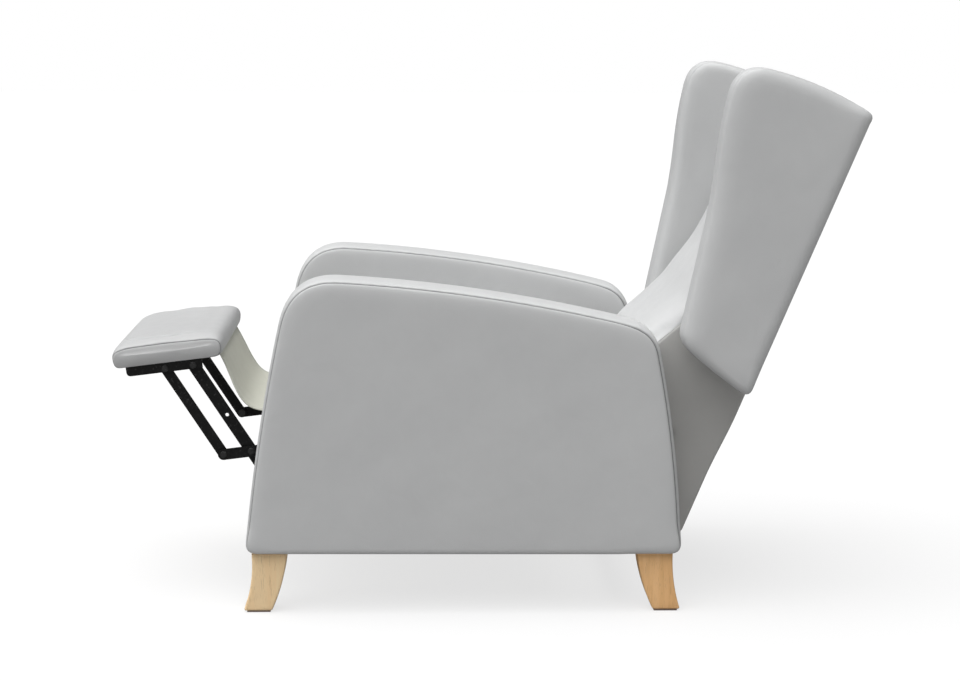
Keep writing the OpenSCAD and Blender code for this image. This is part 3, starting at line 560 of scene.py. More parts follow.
@dataclass
class Graph:
    """Adds and links shader nodes in one tree."""

    tree: Tree

    def node(self, kind: str, **settings: object) -> Node:
        """Adds a node.

        Args:
            kind: The node's type.
            settings: Properties that are set on it.

        Returns:
            The node.
        """
        made = self.tree.nodes.new(kind)
        for key, value in settings.items():
            setattr(made, key, value)
        return made

    def feed(self, socket: Socket, value: object) -> None:
        """Links a socket into an input, or sets the input to a plain value.

        Args:
            socket: The input.
            value: A socket, a number, a colour or a vector.
        """
        if isinstance(value, Socket):
            self.tree.links.new(value, socket)
        elif isinstance(value, tuple) and len(value) == 3 and socket.type == "RGBA":
            socket.default_value = (*value, 1.0)
        else:
            socket.default_value = value

    def fill(self, node: Node, values: dict[str, object]) -> Node:
        """Feeds a node's inputs.

        Args:
            node: The node.
            values: What each input gets, by the input's name.

        Returns:
            The same node.
        """
        for key, value in values.items():
            self.feed(node.inputs[key], value)
        return node

    def math(self, op: str, a: object, b: object) -> Socket:
        """Adds a Math node.

        Args:
            op: Its operation.
            a: Its first value.
            b: Its second value.

        Returns:
            Its output.
        """
        n = self.node("ShaderNodeMath", operation=op)
        self.feed(n.inputs[0], a)
        self.feed(n.inputs[1], b)
        return n.outputs[0]

    def times(self, a: object, b: object) -> Socket:
        """The product of two values."""
        return self.math("MULTIPLY", a, b)

    def plus(self, a: object, b: object) -> Socket:
        """The sum of two values."""
        return self.math("ADD", a, b)

    def mix(self, factor: object, a: object, b: object, how: str = "MIX") -> Socket:
        """Mixes two colours.

        Args:
            factor: Share of the second.
            a: The first colour.
            b: The second colour.
            how: Blend type.

        Returns:
            The mixed colour.
        """
        n = self.node("ShaderNodeMix", data_type="RGBA", blend_type=how)
        for k, value in ((0, factor), (6, a), (7, b)):
            self.feed(n.inputs[k], value)
        return n.outputs[2]

    def noise(
        self, at: Socket, scale: object, detail: float = 2.0, rough: float = 0.5, warp: float = 0.0
    ) -> Socket:
        """Adds a noise texture and returns its value.

        Args:
            at: Place that it is read at.
            scale: Waves to a metre.
            detail: Number of finer layers.
            rough: Strength of the finer layers.
            warp: Distortion.

        Returns:
            The noise's value, about 0.5.
        """
        values = {"Vector": at, "Scale": scale, "Detail": detail, "Roughness": rough}
        n = self.fill(self.node("ShaderNodeTexNoise"), {**values, "Distortion": warp})
        return n.outputs["Fac"]

    def span(
        self, value: Socket, a: float, b: float, low: float = 0.0, high: float = 1.0
    ) -> Socket:
        """Maps a value from one range to another and holds it at both ends.

        Args:
            value: The value.
            a: Start of its range.
            b: End of its range.
            low: What the start becomes.
            high: What the end becomes.

        Returns:
            The mapped value.
        """
        n = self.node("ShaderNodeMapRange")
        for socket, v in zip(n.inputs, (value, a, b, low, high)):
            self.feed(socket, v)
        return n.outputs[0]

    def place(self, along: float = 1.0) -> Socket:
        """Reads the object coordinates.

        Args:
            along: Scale along Z.

        Returns:
            The coordinates.
        """
        n = self.node("ShaderNodeMapping", vector_type="POINT")
        self.feed(n.inputs["Vector"], self.node("ShaderNodeTexCoord").outputs["Object"])
        n.inputs["Scale"].default_value = (1.0, 1.0, along)
        return n.outputs["Vector"]

    def seen(self, output: Node, other: Node, camera: Node, share: float = 1.0) -> None:
        """Gives an output a shader, and shows the camera a share of another.

        Args:
            output: The output node.
            other: Shader that lights the scene.
            camera: Shader that the camera sees.
            share: How much of it the camera sees.
        """
        mix = self.node("ShaderNodeMixShader")
        ray = self.node("ShaderNodeLightPath").outputs["Is Camera Ray"]
        parts = (self.times(ray, share), other.outputs[0], camera.outputs[0])
        for socket, value in zip(mix.inputs, parts):
            self.feed(socket, value)
        self.feed(output.inputs["Surface"], mix.outputs[0])


def new_group(
    name: str, colours: Sequence[str], values: Sequence[str]
) -> tuple[Tree, Graph, bpy.types.NodeOutputs, bpy.types.NodeInputs]:
    """Makes an empty shader node group that gives a colour, a roughness and a height.

    Args:
        name: Name of the group.
        colours: Names of its colour inputs.
        values: Names of its number inputs.

    Returns:
        The group, its graph, the sockets it reads from and the sockets it writes to.
    """
    tree = bpy.data.node_groups.new(name, "ShaderNodeTree")
    for side, keys, kind in (
        ("INPUT", colours, "NodeSocketColor"),
        ("INPUT", values, "NodeSocketFloat"),
        ("OUTPUT", ("Color",), "NodeSocketColor"),
        ("OUTPUT", ("Roughness", "Height"), "NodeSocketFloat"),
    ):
        for key in keys:
            tree.interface.new_socket(name=key, in_out=side, socket_type=kind)
    g = Graph(tree)
    return tree, g, g.node("NodeGroupInput").outputs, g.node("NodeGroupOutput").inputs


def skin_group() -> Tree:
    """Makes the group for coated cloth: fine grain, a mottled tint, soft creases, dark seams and
    painted shade.

    Returns:
        The group.
    """
    tree, g, inp, out = new_group("coated_cloth", ["Base"], ["Gloss", "Grain", "Mottle", "Crease"])
    at = g.place()
    seam = g.node("ShaderNodeAttribute", attribute_name="seam").outputs["Fac"]
    cloud = g.noise(at, 5.0, 3.0, 0.55)
    patch = g.noise(at, 34.0, 2.0, 0.5)
    tone = g.plus(g.times(cloud, 0.7), g.times(patch, 0.3))
    dark = g.mix(1.0, inp["Base"], (0.86, 0.86, 0.87), "MULTIPLY")
    share = g.times(g.span(tone, 0.35, 0.65), g.times(inp["Mottle"], 10.0))
    tinted = g.mix(share, inp["Base"], dark)
    # The seam attribute darkens the colour towards the seam colour: real dark seams, and painted
    # shade on the wings' inner faces and in the footrest's folds.
    g.feed(out["Color"], g.mix(g.times(seam, 0.8), tinted, SEAM_AND_SHADE_COLOUR))
    rough = g.plus(inp["Gloss"], g.times(g.math("SUBTRACT", patch, 0.5), 0.14))
    g.feed(out["Roughness"], g.plus(rough, g.times(seam, 0.25)))
    cells = {"Vector": at, "Scale": inp["Grain"], "Smoothness": 0.6}
    cells = g.fill(g.node("ShaderNodeTexVoronoi", feature="SMOOTH_F1"), cells)
    grain = g.times(cells.outputs["Distance"], 0.00010)
    fold = g.noise(at, 17.0, 2.0, 0.42, 0.7)
    g.feed(out["Height"], g.plus(grain, g.times(g.times(fold, 0.0011), inp["Crease"])))
    return tree


def wood_group() -> Tree:
    """Makes the group for sawn wood: growth figure, fibres and pores along the local Z axis.

    Returns:
        The group.
    """
    tree, g, inp, out = new_group("sawn_wood", ["Light", "Dark"], ["Figure", "Worn"])
    broad = g.noise(g.place(0.055), inp["Figure"], 4.0, 0.62, 1.3)
    fibre = g.noise(g.place(0.02), 900.0, 3.0, 0.6)
    pores = g.span(g.noise(g.place(0.035), 1500.0, 1.0, 0.4), 0.66, 0.74)
    share = g.plus(g.times(g.span(broad, 0.36, 0.66), 0.75), g.times(fibre, 0.25))
    colour = g.mix(share, inp["Light"], inp["Dark"])
    colour = g.mix(g.times(pores, 0.35), colour, PORE_COLOUR)
    dust = g.span(g.noise(g.place(), 22.0, 4.0, 0.6), 0.52, 0.75)
    g.feed(out["Color"], g.mix(g.times(dust, inp["Worn"]), colour, WORN_COLOUR))
    g.feed(out["Roughness"], g.span(fibre, 0.2, 0.8, 0.38, 0.56))
    g.feed(out["Height"], g.math("SUBTRACT", g.times(fibre, 0.00012), g.times(pores, 0.0002)))
    return tree


def metal_group() -> Tree:
    """Makes the group for coated or bare metal: a faint peel, smudges, dust and worn spots.

    Returns:
        The group.
    """
    tree, g, inp, out = new_group("worked_metal", ["Base"], ["Gloss", "Peel", "Dust"])
    at = g.place()
    smudge = g.noise(at, 38.0, 4.0, 0.6)
    speck = g.span(g.noise(at, 210.0, 2.0, 0.7), 0.6, 0.74)
    dust = g.times(g.times(g.span(smudge, 0.45, 0.7), inp["Dust"]), 0.6)
    dusty = g.mix(dust, inp["Base"], DUST_COLOUR)
    g.feed(out["Color"], g.mix(g.times(speck, 0.08), dusty, SPECK_COLOUR))
    g.feed(out["Roughness"], g.plus(inp["Gloss"], g.span(smudge, 0.3, 0.7, -0.08, 0.14)))
    g.feed(out["Height"], g.times(g.noise(at, inp["Peel"], 1.0), 0.00006))
    return tree


@dataclass(frozen=True)
class Finish:
    """A procedural finish: one shared node group feeding a Principled shader."""

    name: str
    group: Callable[[], Tree]
    values: dict[str, object]
    specular: float = 0.5
    metallic: float = 0.0

    def material(self, groups: dict[str, Tree]) -> bpy.types.Material:
        """Makes the finish's material.

        Args:
            groups: Node groups made so far, by the name of the function that makes them.

        Returns:
            The material.
        """
        key = self.group.__name__
        if key not in groups:
            groups[key] = self.group()
        mat = bpy.data.materials.new(self.name)
        mat.use_nodes = True
        g = Graph(mat.node_tree)
        out = g.fill(g.node("ShaderNodeGroup", node_tree=groups[key]), self.values).outputs
        bump = {"Strength": 1.0, "Distance": 1.0, "Height": out["Height"]}
        surface = {
            "Base Color": out["Color"],
            "Roughness": out["Roughness"],
            "Normal": g.fill(g.node("ShaderNodeBump"), bump).outputs["Normal"],
            "Metallic": self.metallic,
            "Specular IOR Level": self.specular,
        }
        g.fill(mat.node_tree.nodes["Principled BSDF"], surface)
        return mat


def leather(name: str, base: Triple, shine: float, *rest: float) -> Finish:
    """Coated cloth of a colour and specular level, with gloss, grain, mottle and crease."""
    values = dict(zip(("Gloss", "Grain", "Mottle", "Crease"), rest))
    return Finish(name, skin_group, {"Base": base, **values}, shine)


def wood(name: str, light: Triple, dark: Triple, shine: float, *rest: float) -> Finish:
    """Wood of two colours and a specular level, with figure and wear."""
    values = {"Light": light, "Dark": dark, **dict(zip(("Figure", "Worn"), rest))}
    return Finish(name, wood_group, values, shine)


def metal(name: str, base: Triple, shine: float, *rest: float) -> Finish:
    """Metal or nylon of a colour and specular level, with gloss, peel and dust."""
    values = dict(zip(("Gloss", "Peel", "Dust"), rest))
    return Finish(name, metal_group, {"Base": base, **values}, shine)


LEATHER = leather("pale_grey_leatherette", (0.575, 0.58, 0.581), 0.35, 0.5, 720.0, 0.03, 1.0)
# A darker copy of the pale leatherette, which paints shade onto the footrest.
SHADED_FOOT_LEATHER = leather("footrest_leatherette", (0.492, 0.495, 0.496), 0.35, 0.5, 720.0, 0.03, 1.4)
# A darker copy of the pale leatherette, which paints shade onto the back's side and rear cover,
# under the wings and behind the arms.
SHADED_COVER_LEATHER = leather("rear_leatherette", (0.478, 0.474, 0.459), 0.35, 0.5, 720.0, 0.03, 1.0)
FLAP = leather("flap_leatherette", (0.585, 0.585, 0.51), 0.3, 0.6, 600.0, 0.05, 2.0)
WEBBING = leather("woven_webbing", (0.12, 0.12, 0.11), 0.5, 0.85, 380.0, 0.08, 1.5)
BEECH = wood("oiled_beech", (1.0, 0.77, 0.47), (0.98, 0.70, 0.40), 0.4, 62.0, 0.06)
REAR_BEECH = wood("oiled_beech_rear", (1.0, 0.62, 0.30), (0.85, 0.48, 0.20), 0.4, 46.0, 0.08)
TIMBER = wood("frame_timber", (0.62, 0.45, 0.27), (0.42, 0.28, 0.15), 0.25, 45.0, 0.3)
STEEL = metal("black_coated_steel", (0.0045, 0.0045, 0.0045), 0.2, 0.4, 460.0, 0.02)
PIN = replace(metal("zinc_pins", (0.42, 0.41, 0.39), 0.5, 0.34, 900.0, 0.25), metallic=1.0)
RIVET = metal("blackened_rivets", (0.008, 0.008, 0.008), 0.5, 0.36, 900.0, 0.04)
GLIDE = metal("nylon_glides", (0.27, 0.20, 0.17), 0.5, 0.55, 300.0, 0.3)


@dataclass
class Workshop:
    """Hands out materials and dresses pieces and CAD nodes."""

    groups: dict[str, Tree] = field(default_factory=dict)
    made: dict[str, bpy.types.Material] = field(default_factory=dict)

    def coat(self, obj: Object, finish: Finish) -> None:
        """Gives an object's mesh a finish, whose material is made once.

        Args:
            obj: The object.
            finish: The finish.
        """
        if finish.name not in self.made:
            self.made[finish.name] = finish.material(self.groups)
        obj.data.materials.clear()
        obj.data.materials.append(self.made[finish.name])

    def dress(self, obj: Object, finish: Finish, slot: Slot, body: str, *nodes: str) -> None:
        """Gives a new piece its finish and body, and lets it stand for CAD nodes.

        Args:
            obj: The piece.
            finish: Its finish.
            slot: The record's slot for the piece; not used.
            body: The CAD body that it moves with.
            nodes: CAD nodes that it stands for.
        """
        self.coat(obj, finish)
        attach(obj, body)
        if nodes:
            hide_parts(*nodes)
        LOG.info("%s: %d points, on %s", obj.name, len(obj.data.vertices), body)


@dataclass(frozen=True)
class Piece:
    """A piece or a set of pieces that a workshop dresses."""

    shop: Workshop


# Sub-assemblies


@dataclass(frozen=True)
class Arm(Piece):
    """Slab arm: a border band between two rolled side panels, with a seam along each."""

    side: Side
    inner_x: float = 0.247
    outer_x: float = 0.370
    spacing: float = 0.0055
    foot_z: float = 0.114
    foot_roll: float = 0.4
    rear_roll: float = 0.45
    rear_y: float = 0.24
    outline: Outline = Outline(
        ((0.3725, 0.1105), (0.3185, 0.5415), (-0.3668, 0.6378), (-0.4540, 0.1135)),
        (0.024, 0.048, 0.092, 0.024),
        (0.0105, 0.0195, 0.0098, 0.0),
    )

    def half_profile(self) -> Profile:
        """Draws the edge from the outer face's rim to the middle of the band, by X in mm.

        Returns:
            One half of the profile.
        """
        rows = [
            (369.6, 36), (369.4, 28), (368.9, 21), (368.2, 15.5), (367.2, 11.2), (366.0, 8.3),
            (364.9, 6.6, 0.3, 0), (364.1, 5.9, 1.4, 0.3), (363.4, 5.5, 3.0, 0.95),
            (362.6, 5.1, 3.4, 1.0), (361.8, 4.7, 2.4, 0.9), (361.0, 4.3, 0.3, 0.2),
            (359.6, 3.6), (357.0, 2.7), (352.5, 1.8), (346.0, 1.0), (336.0, 0.4), (322.0, 0.1),
            (308.5, 0.0),
        ]  # fmt: skip
        return profile_rows(rows, self.inner_x * 1000, self.outer_x * 1000)

    def build(self) -> None:
        """Builds and dresses the arm."""
        o = self.outline.points(self.spacing)
        up = ramp(o[:, 1], self.foot_z + 0.004, 0.06)
        rear = 1.0 + self.rear_roll * ramp(o[:, 0], self.rear_y, 0.06)
        slab = Slab(
            outline=o,
            profile=mirrored(self.half_profile())[::-1],
            low=fixed(self.inner_x),
            high=fixed(self.outer_x),
            crown_high=0.0007,
            crown_low=0.0006,
            roll=(self.foot_roll + (1 - self.foot_roll) * up) * rear,
            seam=ramp(o[:, 1], self.foot_z + 0.006, 0.02),
            pucker=0.0003,
            pucker_length=0.024,
            seed=2.0 + 3.0 * self.side.value,
        )
        obj = flipped(slab.build(f"arm_{self.side.word}"), self.side)
        self.shop.dress(obj, LEATHER, Slot.UPHOLSTERY, "base", f"arm_{self.side.word}_cover")


@dataclass(frozen=True)
class Leg(Piece):
    """Sabre leg of solid wood with eased edges."""

    side: Side
    front: bool
    x0: float = 0.301
    x1: float = 0.353
    z0: float = 0.003
    z1: float = 0.114
    bow: float = 0.005
    ease: float = 0.0035
    corner: float = 0.003
    spacing: float = 0.004

    def outline(self) -> Outline:
        """Draws the leg's side view, anticlockwise from its lower rear corner.

        Returns:
            The outline.
        """
        if self.front:
            corners = ((-0.403, self.z0), (-0.374, self.z1), (-0.441, self.z1), (-0.4565, self.z0))
            bows = (self.bow, 0.0, -1.3 * self.bow, 0.0)
        else:
            corners = ((0.3705, self.z0), (0.3555, self.z1), (0.287, self.z1), (0.3185, self.z0))
            bows = (-self.bow, 0.0, self.bow, 0.0)
        return Outline(corners, (self.corner,) * 4, bows)

    def build(self) -> None:
        """Builds and dresses the leg."""
        name = f"{'front' if self.front else 'rear'}_{self.side.word}_leg"
        wide = self.x1 - self.x0
        turn = [(1 - math.cos(a), 1 - math.sin(a)) for a in np.linspace(0, math.pi / 2, 5)]
        half = [(self.ease * a / wide, self.ease * b, 0.0, 0.0) for a, b in turn]
        half += [(0.25, 0.0, 0.0, 0.0), (0.5, 0.0, 0.0, 0.0)]
        slab = Slab(
            outline=self.outline().points(self.spacing),
            profile=mirrored(half),
            low=fixed(self.x0),
            high=fixed(self.x1),
            rings=(0.1, 0.5, 0.85),
            pucker=0.0,
        )
        obj = slab.build(f"{name}_wood")
        low, high = (self.x0, -np.inf, self.z0), (self.x1, np.inf, self.z1)
        move_points(obj, lambda p: np.clip(p, low, high))
        finish = BEECH if self.front else REAR_BEECH
        self.shop.dress(flipped(obj, self.side), finish, Slot.LEG_WOOD, "base", name)


@dataclass(frozen=True)
class Tilted:
    """A part's own frame: X across, Y rearwards and Z up, from a place and tilted about X."""

    y: float
    z: float
    angle: float

    def world(self, p: Array) -> Array:
        """Takes points from the part's frame to the shared one.

        Args:
            p: Points in the part's frame.

        Returns:
            The same points in the shared frame.
        """
        c, s = math.cos(self.angle), math.sin(self.angle)
        y = self.y + p[:, 1] * c - p[:, 2] * s
        z = self.z + p[:, 1] * s + p[:, 2] * c
        return np.stack([p[:, 0], y, z], 1)


BACK_FRAME = Tilted(0.318, 0.300, -math.radians(22.65))
FOOTREST_FRAME = Tilted(-0.6110, 0.44715, math.radians(7.07))


@dataclass(frozen=True)
class Wing(Piece):
    """Padded wing that flares forwards beside the head, with a soft roll round its front."""

    side: Side
    root_x: float = 0.2403
    outer_x: float = 0.370
    flare: float = 0.3
    flare_start: float = 0.028
    flare_bend: float = 0.010
    rear_y: float = 0.117
    foot_z: float = 0.173
    lid_z: float = 0.722
    sewn_z: float = 0.66
    # Painted shade on the inner face: how deep into the face it reaches, the height it grows
    # below, and its strength all over and low down.
    shade_depth: float = 0.007
    shade_z: float = 0.70
    shade_all: float = 0.12
    shade_low: float = 0.10
    spacing: float = 0.0055
    outline: Outline = Outline(
        ((0.1210, 0.168), (0.1210, 0.7430), (-0.150, 0.7330), (-0.095, 0.500), (-0.040, 0.214)),
        (0.020, 0.014, 0.062, 0.060, 0.026),
        (0.0, 0.015, 0.008, 0.0, 0.004),
    )

    def inner(self, p: Array) -> Array:
        """Place across the chair of the inner face, which flares ahead of its root."""
        ahead = np.log1p(np.exp((self.flare_start - p[:, 0]) / self.flare_bend))
        return self.root_x + self.flare * (self.flare_bend * ahead)

    def profile(self) -> Profile:
        """Draws the edge from the inner face round to the outer face.

        Returns:
            The profile.
        """
        rows = [
            (0.004, 30), (0.014, 20), (0.036, 13), (0.07, 8.2), (0.11, 5.2, 0.1, 0),
            (0.14, 3.9, 0.7, 0.15), (0.155, 3.4, 1.2, 0.35), (0.17, 2.9, 0.6, 0.1),
            (0.21, 1.9), (0.28, 0.9), (0.38, 0.2), (0.50, 0.0), (0.66, 0.1), (0.75, 0.6),
            (0.80, 1.3, 0.1, 0), (0.82, 1.8, 0.7, 0.12), (0.833, 2.3, 1.2, 0.25),
            (0.846, 2.8, 0.6, 0.1), (0.87, 4.2), (0.905, 7.5), (0.94, 13.0), (0.968, 20.0),
            (0.986, 29.0), (0.996, 40.0),
        ]  # fmt: skip
        return profile_rows(rows)

    def shade(self, obj: Object) -> None:
        """Paints a little shade on the inner face, more so low down, before the wing is placed: it
        stands for the shade in the hollow between the wings.

        Args:
            obj: The wing, still in the back's frame.
        """
        p = read_points(obj)
        face = ramp(p[:, 0] - self.inner(p[:, 1:]), self.shade_depth, -self.shade_depth)
        low = self.shade_low * ramp(p[:, 2], self.shade_z, -0.12)
        add_painted_shade(obj, face * (self.shade_all + low))

    def build(self) -> None:
        """Builds and dresses the wing."""
        o = self.outline.points(self.spacing)
        ahead = ramp(o[:, 0], self.rear_y - 0.0025, -0.06)
        low = ramp(o[:, 1], self.foot_z, 0.07)
        lid = ramp(o[:, 1], self.lid_z, 0.012)
        slab = Slab(
            outline=o,
            profile=self.profile(),
            low=self.inner,
            high=fixed(self.outer_x - 0.0012),
            crown_high=0.0012,
            roll=0.62 + 0.38 * ahead * (0.2 + 0.8 * low) - 0.3 * (1 - low) - 0.3 * lid,
            seam=ramp(o[:, 1], self.sewn_z, 0.05) * ramp(o[:, 0], self.rear_y, -0.012),
            pucker=0.0003,
            seed=5.0 + 2.0 * self.side.value,
        )
        obj = slab.build(f"wing_{self.side.word}")
        self.shade(obj)
        move_points(obj, BACK_FRAME.world)
        flipped(obj, self.side)
        self.shop.dress(obj, LEATHER, Slot.UPHOLSTERY, "backrest", f"wing_{self.side.word}_cover")


@dataclass(frozen=True)
class Back(Piece):
    """The back's body between the wings: a padded front and a side and rear cover behind it."""

    half: float = 0.240
    foot: float = -0.138
    height: float = 0.878
    rear: float = 0.129
    split: float = 0.063
    lumbar: float = 0.171
    crown: float = 0.0275
    high_crown: float = 0.016
    fuller: float = 0.003
    seam_behind: float = 0.003
    slack: float = 0.002
    pocket_half: float = 0.2252
    pocket_y: float = 0.042
    pocket_z: tuple[float, float] = (-0.078, 0.049)
    pocket_slope: float = math.tan(math.radians(36.0))
    shallow_z: float = 0.25
    front_ease: float = 0.8
    front_edge: float = 0.004
    front_dent: float = 0.0011
    front_points: int = 73
    cover_swell: float = 0.006
    cover_seam: tuple[Triple, ...] = (
        (0.0055, 0.0, 0.9), (0.0018, 0.0012, 0.35), (0.0004, 0.0035, 0.0),
    )  # fmt: skip
    cover_corner: tuple[tuple[float, float], ...] = (
        (0.0004, 0.011), (0.0006, 0.008), (0.0009, 0.005), (0.0020, 0.0022), (0.0048, 0.0004),
    )  # fmt: skip
    stations: tuple[tuple[float, float], ...] = (
        (0.018, 0.05), (0.043, 0.15), (0.149, 0.47), (0.23, 0.68), (0.271, 0.855),
        (0.296, 0.965), (0.317, 1.0), (0.339, 0.99), (0.366, 0.955), (0.397, 0.87),
        (0.437, 0.766), (0.484, 0.645), (0.517, 0.589), (0.55, 0.535), (0.584, 0.487),
        (0.62, 0.458), (0.659, 0.44), (0.749, 0.4), (0.818, 0.37), (0.909, 0.34),
        (0.972, 0.29), (0.995, 0.19),
    )  # fmt: skip

    def depth(self, z: Array) -> Array:
        """Finds how far the front stands ahead of the split plane.

        Args:
            z: Heights along the back.

        Returns:
            The depth at each of them.
        """
        grid = np.linspace(self.foot, self.foot + self.height, 440)
        share = [(z0 * self.height + self.foot, d * self.lumbar) for z0, d in self.stations]
        raw = np.interp(grid, [s[0] for s in share], [s[1] for s in share])
        kernel = np.exp(-0.5 * (np.arange(-12, 13) / 4.0) ** 2)
        wide = np.pad(raw, 12, mode="edge")
        soft = np.convolve(wide, kernel / kernel.sum(), mode="valid")
        deep = np.interp(z, grid, np.minimum(soft, raw + 0.0035))
        return deep + self.fuller * ramp(z, self.shallow_z, 0.08) * ramp(z, 0.70, -0.12)

    def fall(self, z: float) -> float:
        """Finds how far the front falls back from its middle to its sides.

        Args:
            z: Height along the back.

        Returns:
            The fall.
        """
        share = float(ramp(z, self.shallow_z, 0.09))
        deep = float(self.depth(np.array([z]))[0])
        return min(self.crown + (self.high_crown - self.crown) * share, 0.45 * deep)

    def pocketed(self, p: Array) -> Array:
        """Draws points in beside the hinge, where the side plates swing in.

        Args:
            p: Points in the back's frame.

        Returns:
            The points with their place across limited.
        """
        low, high = self.pocket_z
        over = p[:, 2] - np.maximum(0.0, -p[:, 1]) * self.pocket_slope
        inside = ramp(over, high, -0.022) * ramp(p[:, 1], self.pocket_y, -0.016)
        inside = inside * ramp(p[:, 2], low, 0.016)
        limit = self.half - (self.half - self.pocket_half) * inside
        q = p.copy()
        q[:, 0] = np.clip(q[:, 0], -limit, limit)
        return q

    def stack(self, first: float, last: float, ends: float) -> list[tuple[float, float]]:
        """Heights of a stack of sections, with how far each is drawn in near the ends.

        Args:
            first: Lowest height.
            last: Greatest height.
            ends: Radius of the rounding at both ends.

        Returns:
            Pairs of height and inset.
        """
        angles = np.linspace(0, math.pi / 2, 6)
        turn = [(ends * (1 - math.sin(a)), ends * (1 - math.cos(a))) for a in angles]
        middle = np.arange(first + ends + 0.005, last - ends - 0.002, 0.006)
        rows = [(first + rise, inset) for rise, inset in turn[::-1]]
        rows += [(float(z), 0.0) for z in middle]
        return rows + [(last - rise, inset) for rise, inset in turn]

    def front_section(self, z: float, inset: float) -> tuple[Array, Array]:
        """Draws the padded front's section at one height.

        Args:
            z: Height along the back.
            inset: How far it is drawn in near the ends.

        Returns:
            X and Y of its points, anticlockwise from above, and a seam value of 0 for each.
        """
        inset = inset * self.front_ease
        deep = float(self.depth(np.array([z]))[0])
        face = self.split - deep + self.slack + inset
        u = np.sin(np.linspace(-math.pi / 2, math.pi / 2, self.front_points))
        half = self.half - 0.0008 - inset
        edge = self.front_edge
        x = u * half
        y = face + self.fall(z) * np.abs(u) ** 5
        out = half - np.abs(x)
        turned = edge - np.sqrt(np.maximum(edge**2 - (edge - out) ** 2, 0.0))
        y += np.where(out < edge, turned, 0.0)
        at = np.stack([x, np.full_like(x, z)], 1)
        y += self.front_dent * ripple(at, 0.15, 3.0) * (1 - u**4)
        y = np.minimum(y, self.seam_place(z) + inset)
        back = self.seam_place(z) + 0.012 + inset
        rear = np.stack([np.linspace(half - 0.004, -half + 0.004, 24), np.full(24, back)], 1)
        points = np.concatenate([np.stack([x, y], 1), rear])
        return points, np.zeros(len(points))

    def seam_place(self, z: float) -> float:
        """Where the seam between the front and the side runs, in the back's frame."""
        deep = float(self.depth(np.array([z]))[0])
        return self.split - deep + self.fall(z) + self.seam_behind + 0.002

    def cover_section(self, z: float, inset: float) -> tuple[Array, Array]:
        """Draws the side and rear cover's section at one height.

        Args:
            z: Height along the back.
            inset: How far it is drawn in near the ends.

        Returns:
            X and Y of its points, and how much of a seam each is.
        """
        seam_y = self.seam_place(z) + 0.0015
        swell = float(ramp(z, -0.02, 0.14) * ramp(z, 0.45, -0.2))
        h, r = self.half - inset, self.rear + self.cover_swell * swell - inset
        side_y = np.linspace(seam_y + 0.006, r - 0.016, 14)
        right = [(h - x, seam_y + y, dark) for x, y, dark in self.cover_seam]
        right += [(h - 0.0001 * (k % 2), float(y), 0.0) for k, y in enumerate(side_y)]
        right += [(h - x, r - y, 0.0) for x, y in self.cover_corner]
        rear_x = np.linspace(h - 0.012, -h + 0.012, 40)
        bulge = 0.0008 * (1 - (rear_x / h) ** 2) - 0.0008
        across = [(float(x), float(r + b), 0.0) for x, b in zip(rear_x, bulge)]
        left = [(-x, y, d) for x, y, d in reversed(right)]
        inner_x = np.linspace(-h + 0.02, h - 0.02, 20)
        inner = [(float(x), seam_y + 0.006, 0.0) for x in inner_x]
        rows = np.array(right + across + left + inner)
        return rows[:, :2], rows[:, 2]

    def shell(
        self, name: str, first: float, last: float, ends: float, section: Section
    ) -> Object:
        """Stacks sections into a closed shell and places it.

        Args:
            name: Name of the object.
            first: Height of the lowest section.
            last: Height of the highest section.
            ends: Radius of the rounding at both ends.
            section: What draws one section and its seams, from its height and inset.

        Returns:
            The object.
        """
        rings, seams = [], []
        for z, inset in self.stack(first, last, ends):
            points, dark = section(z, inset)
            rings.append(np.column_stack([points, np.full(len(points), z)]))
            seams.append(dark)
        obj = ring_object(name, np.array(rings), np.array(seams))
        move_points(obj, lambda p: BACK_FRAME.world(self.pocketed(p)))
        return obj

    def build(self) -> None:
        """Builds and dresses the padded front and the cover behind it."""
        low, high = self.foot, self.foot + self.height
        front = self.shell("back_front", low + 0.016, high - 0.0045, 0.014, self.front_section)
        Stuffing(cap=(0.0008, 0.0035, 0.0035)).fill(front)
        self.shop.dress(front, LEATHER, Slot.UPHOLSTERY, "backrest", "back_cushion")

        cover = self.shell("back_cover", low, high, 0.009, self.cover_section)
        # The cover's darker leatherette is painted shade.
        self.shop.dress(cover, SHADED_COVER_LEATHER, Slot.UPHOLSTERY, "backrest", "back_rear_cover")


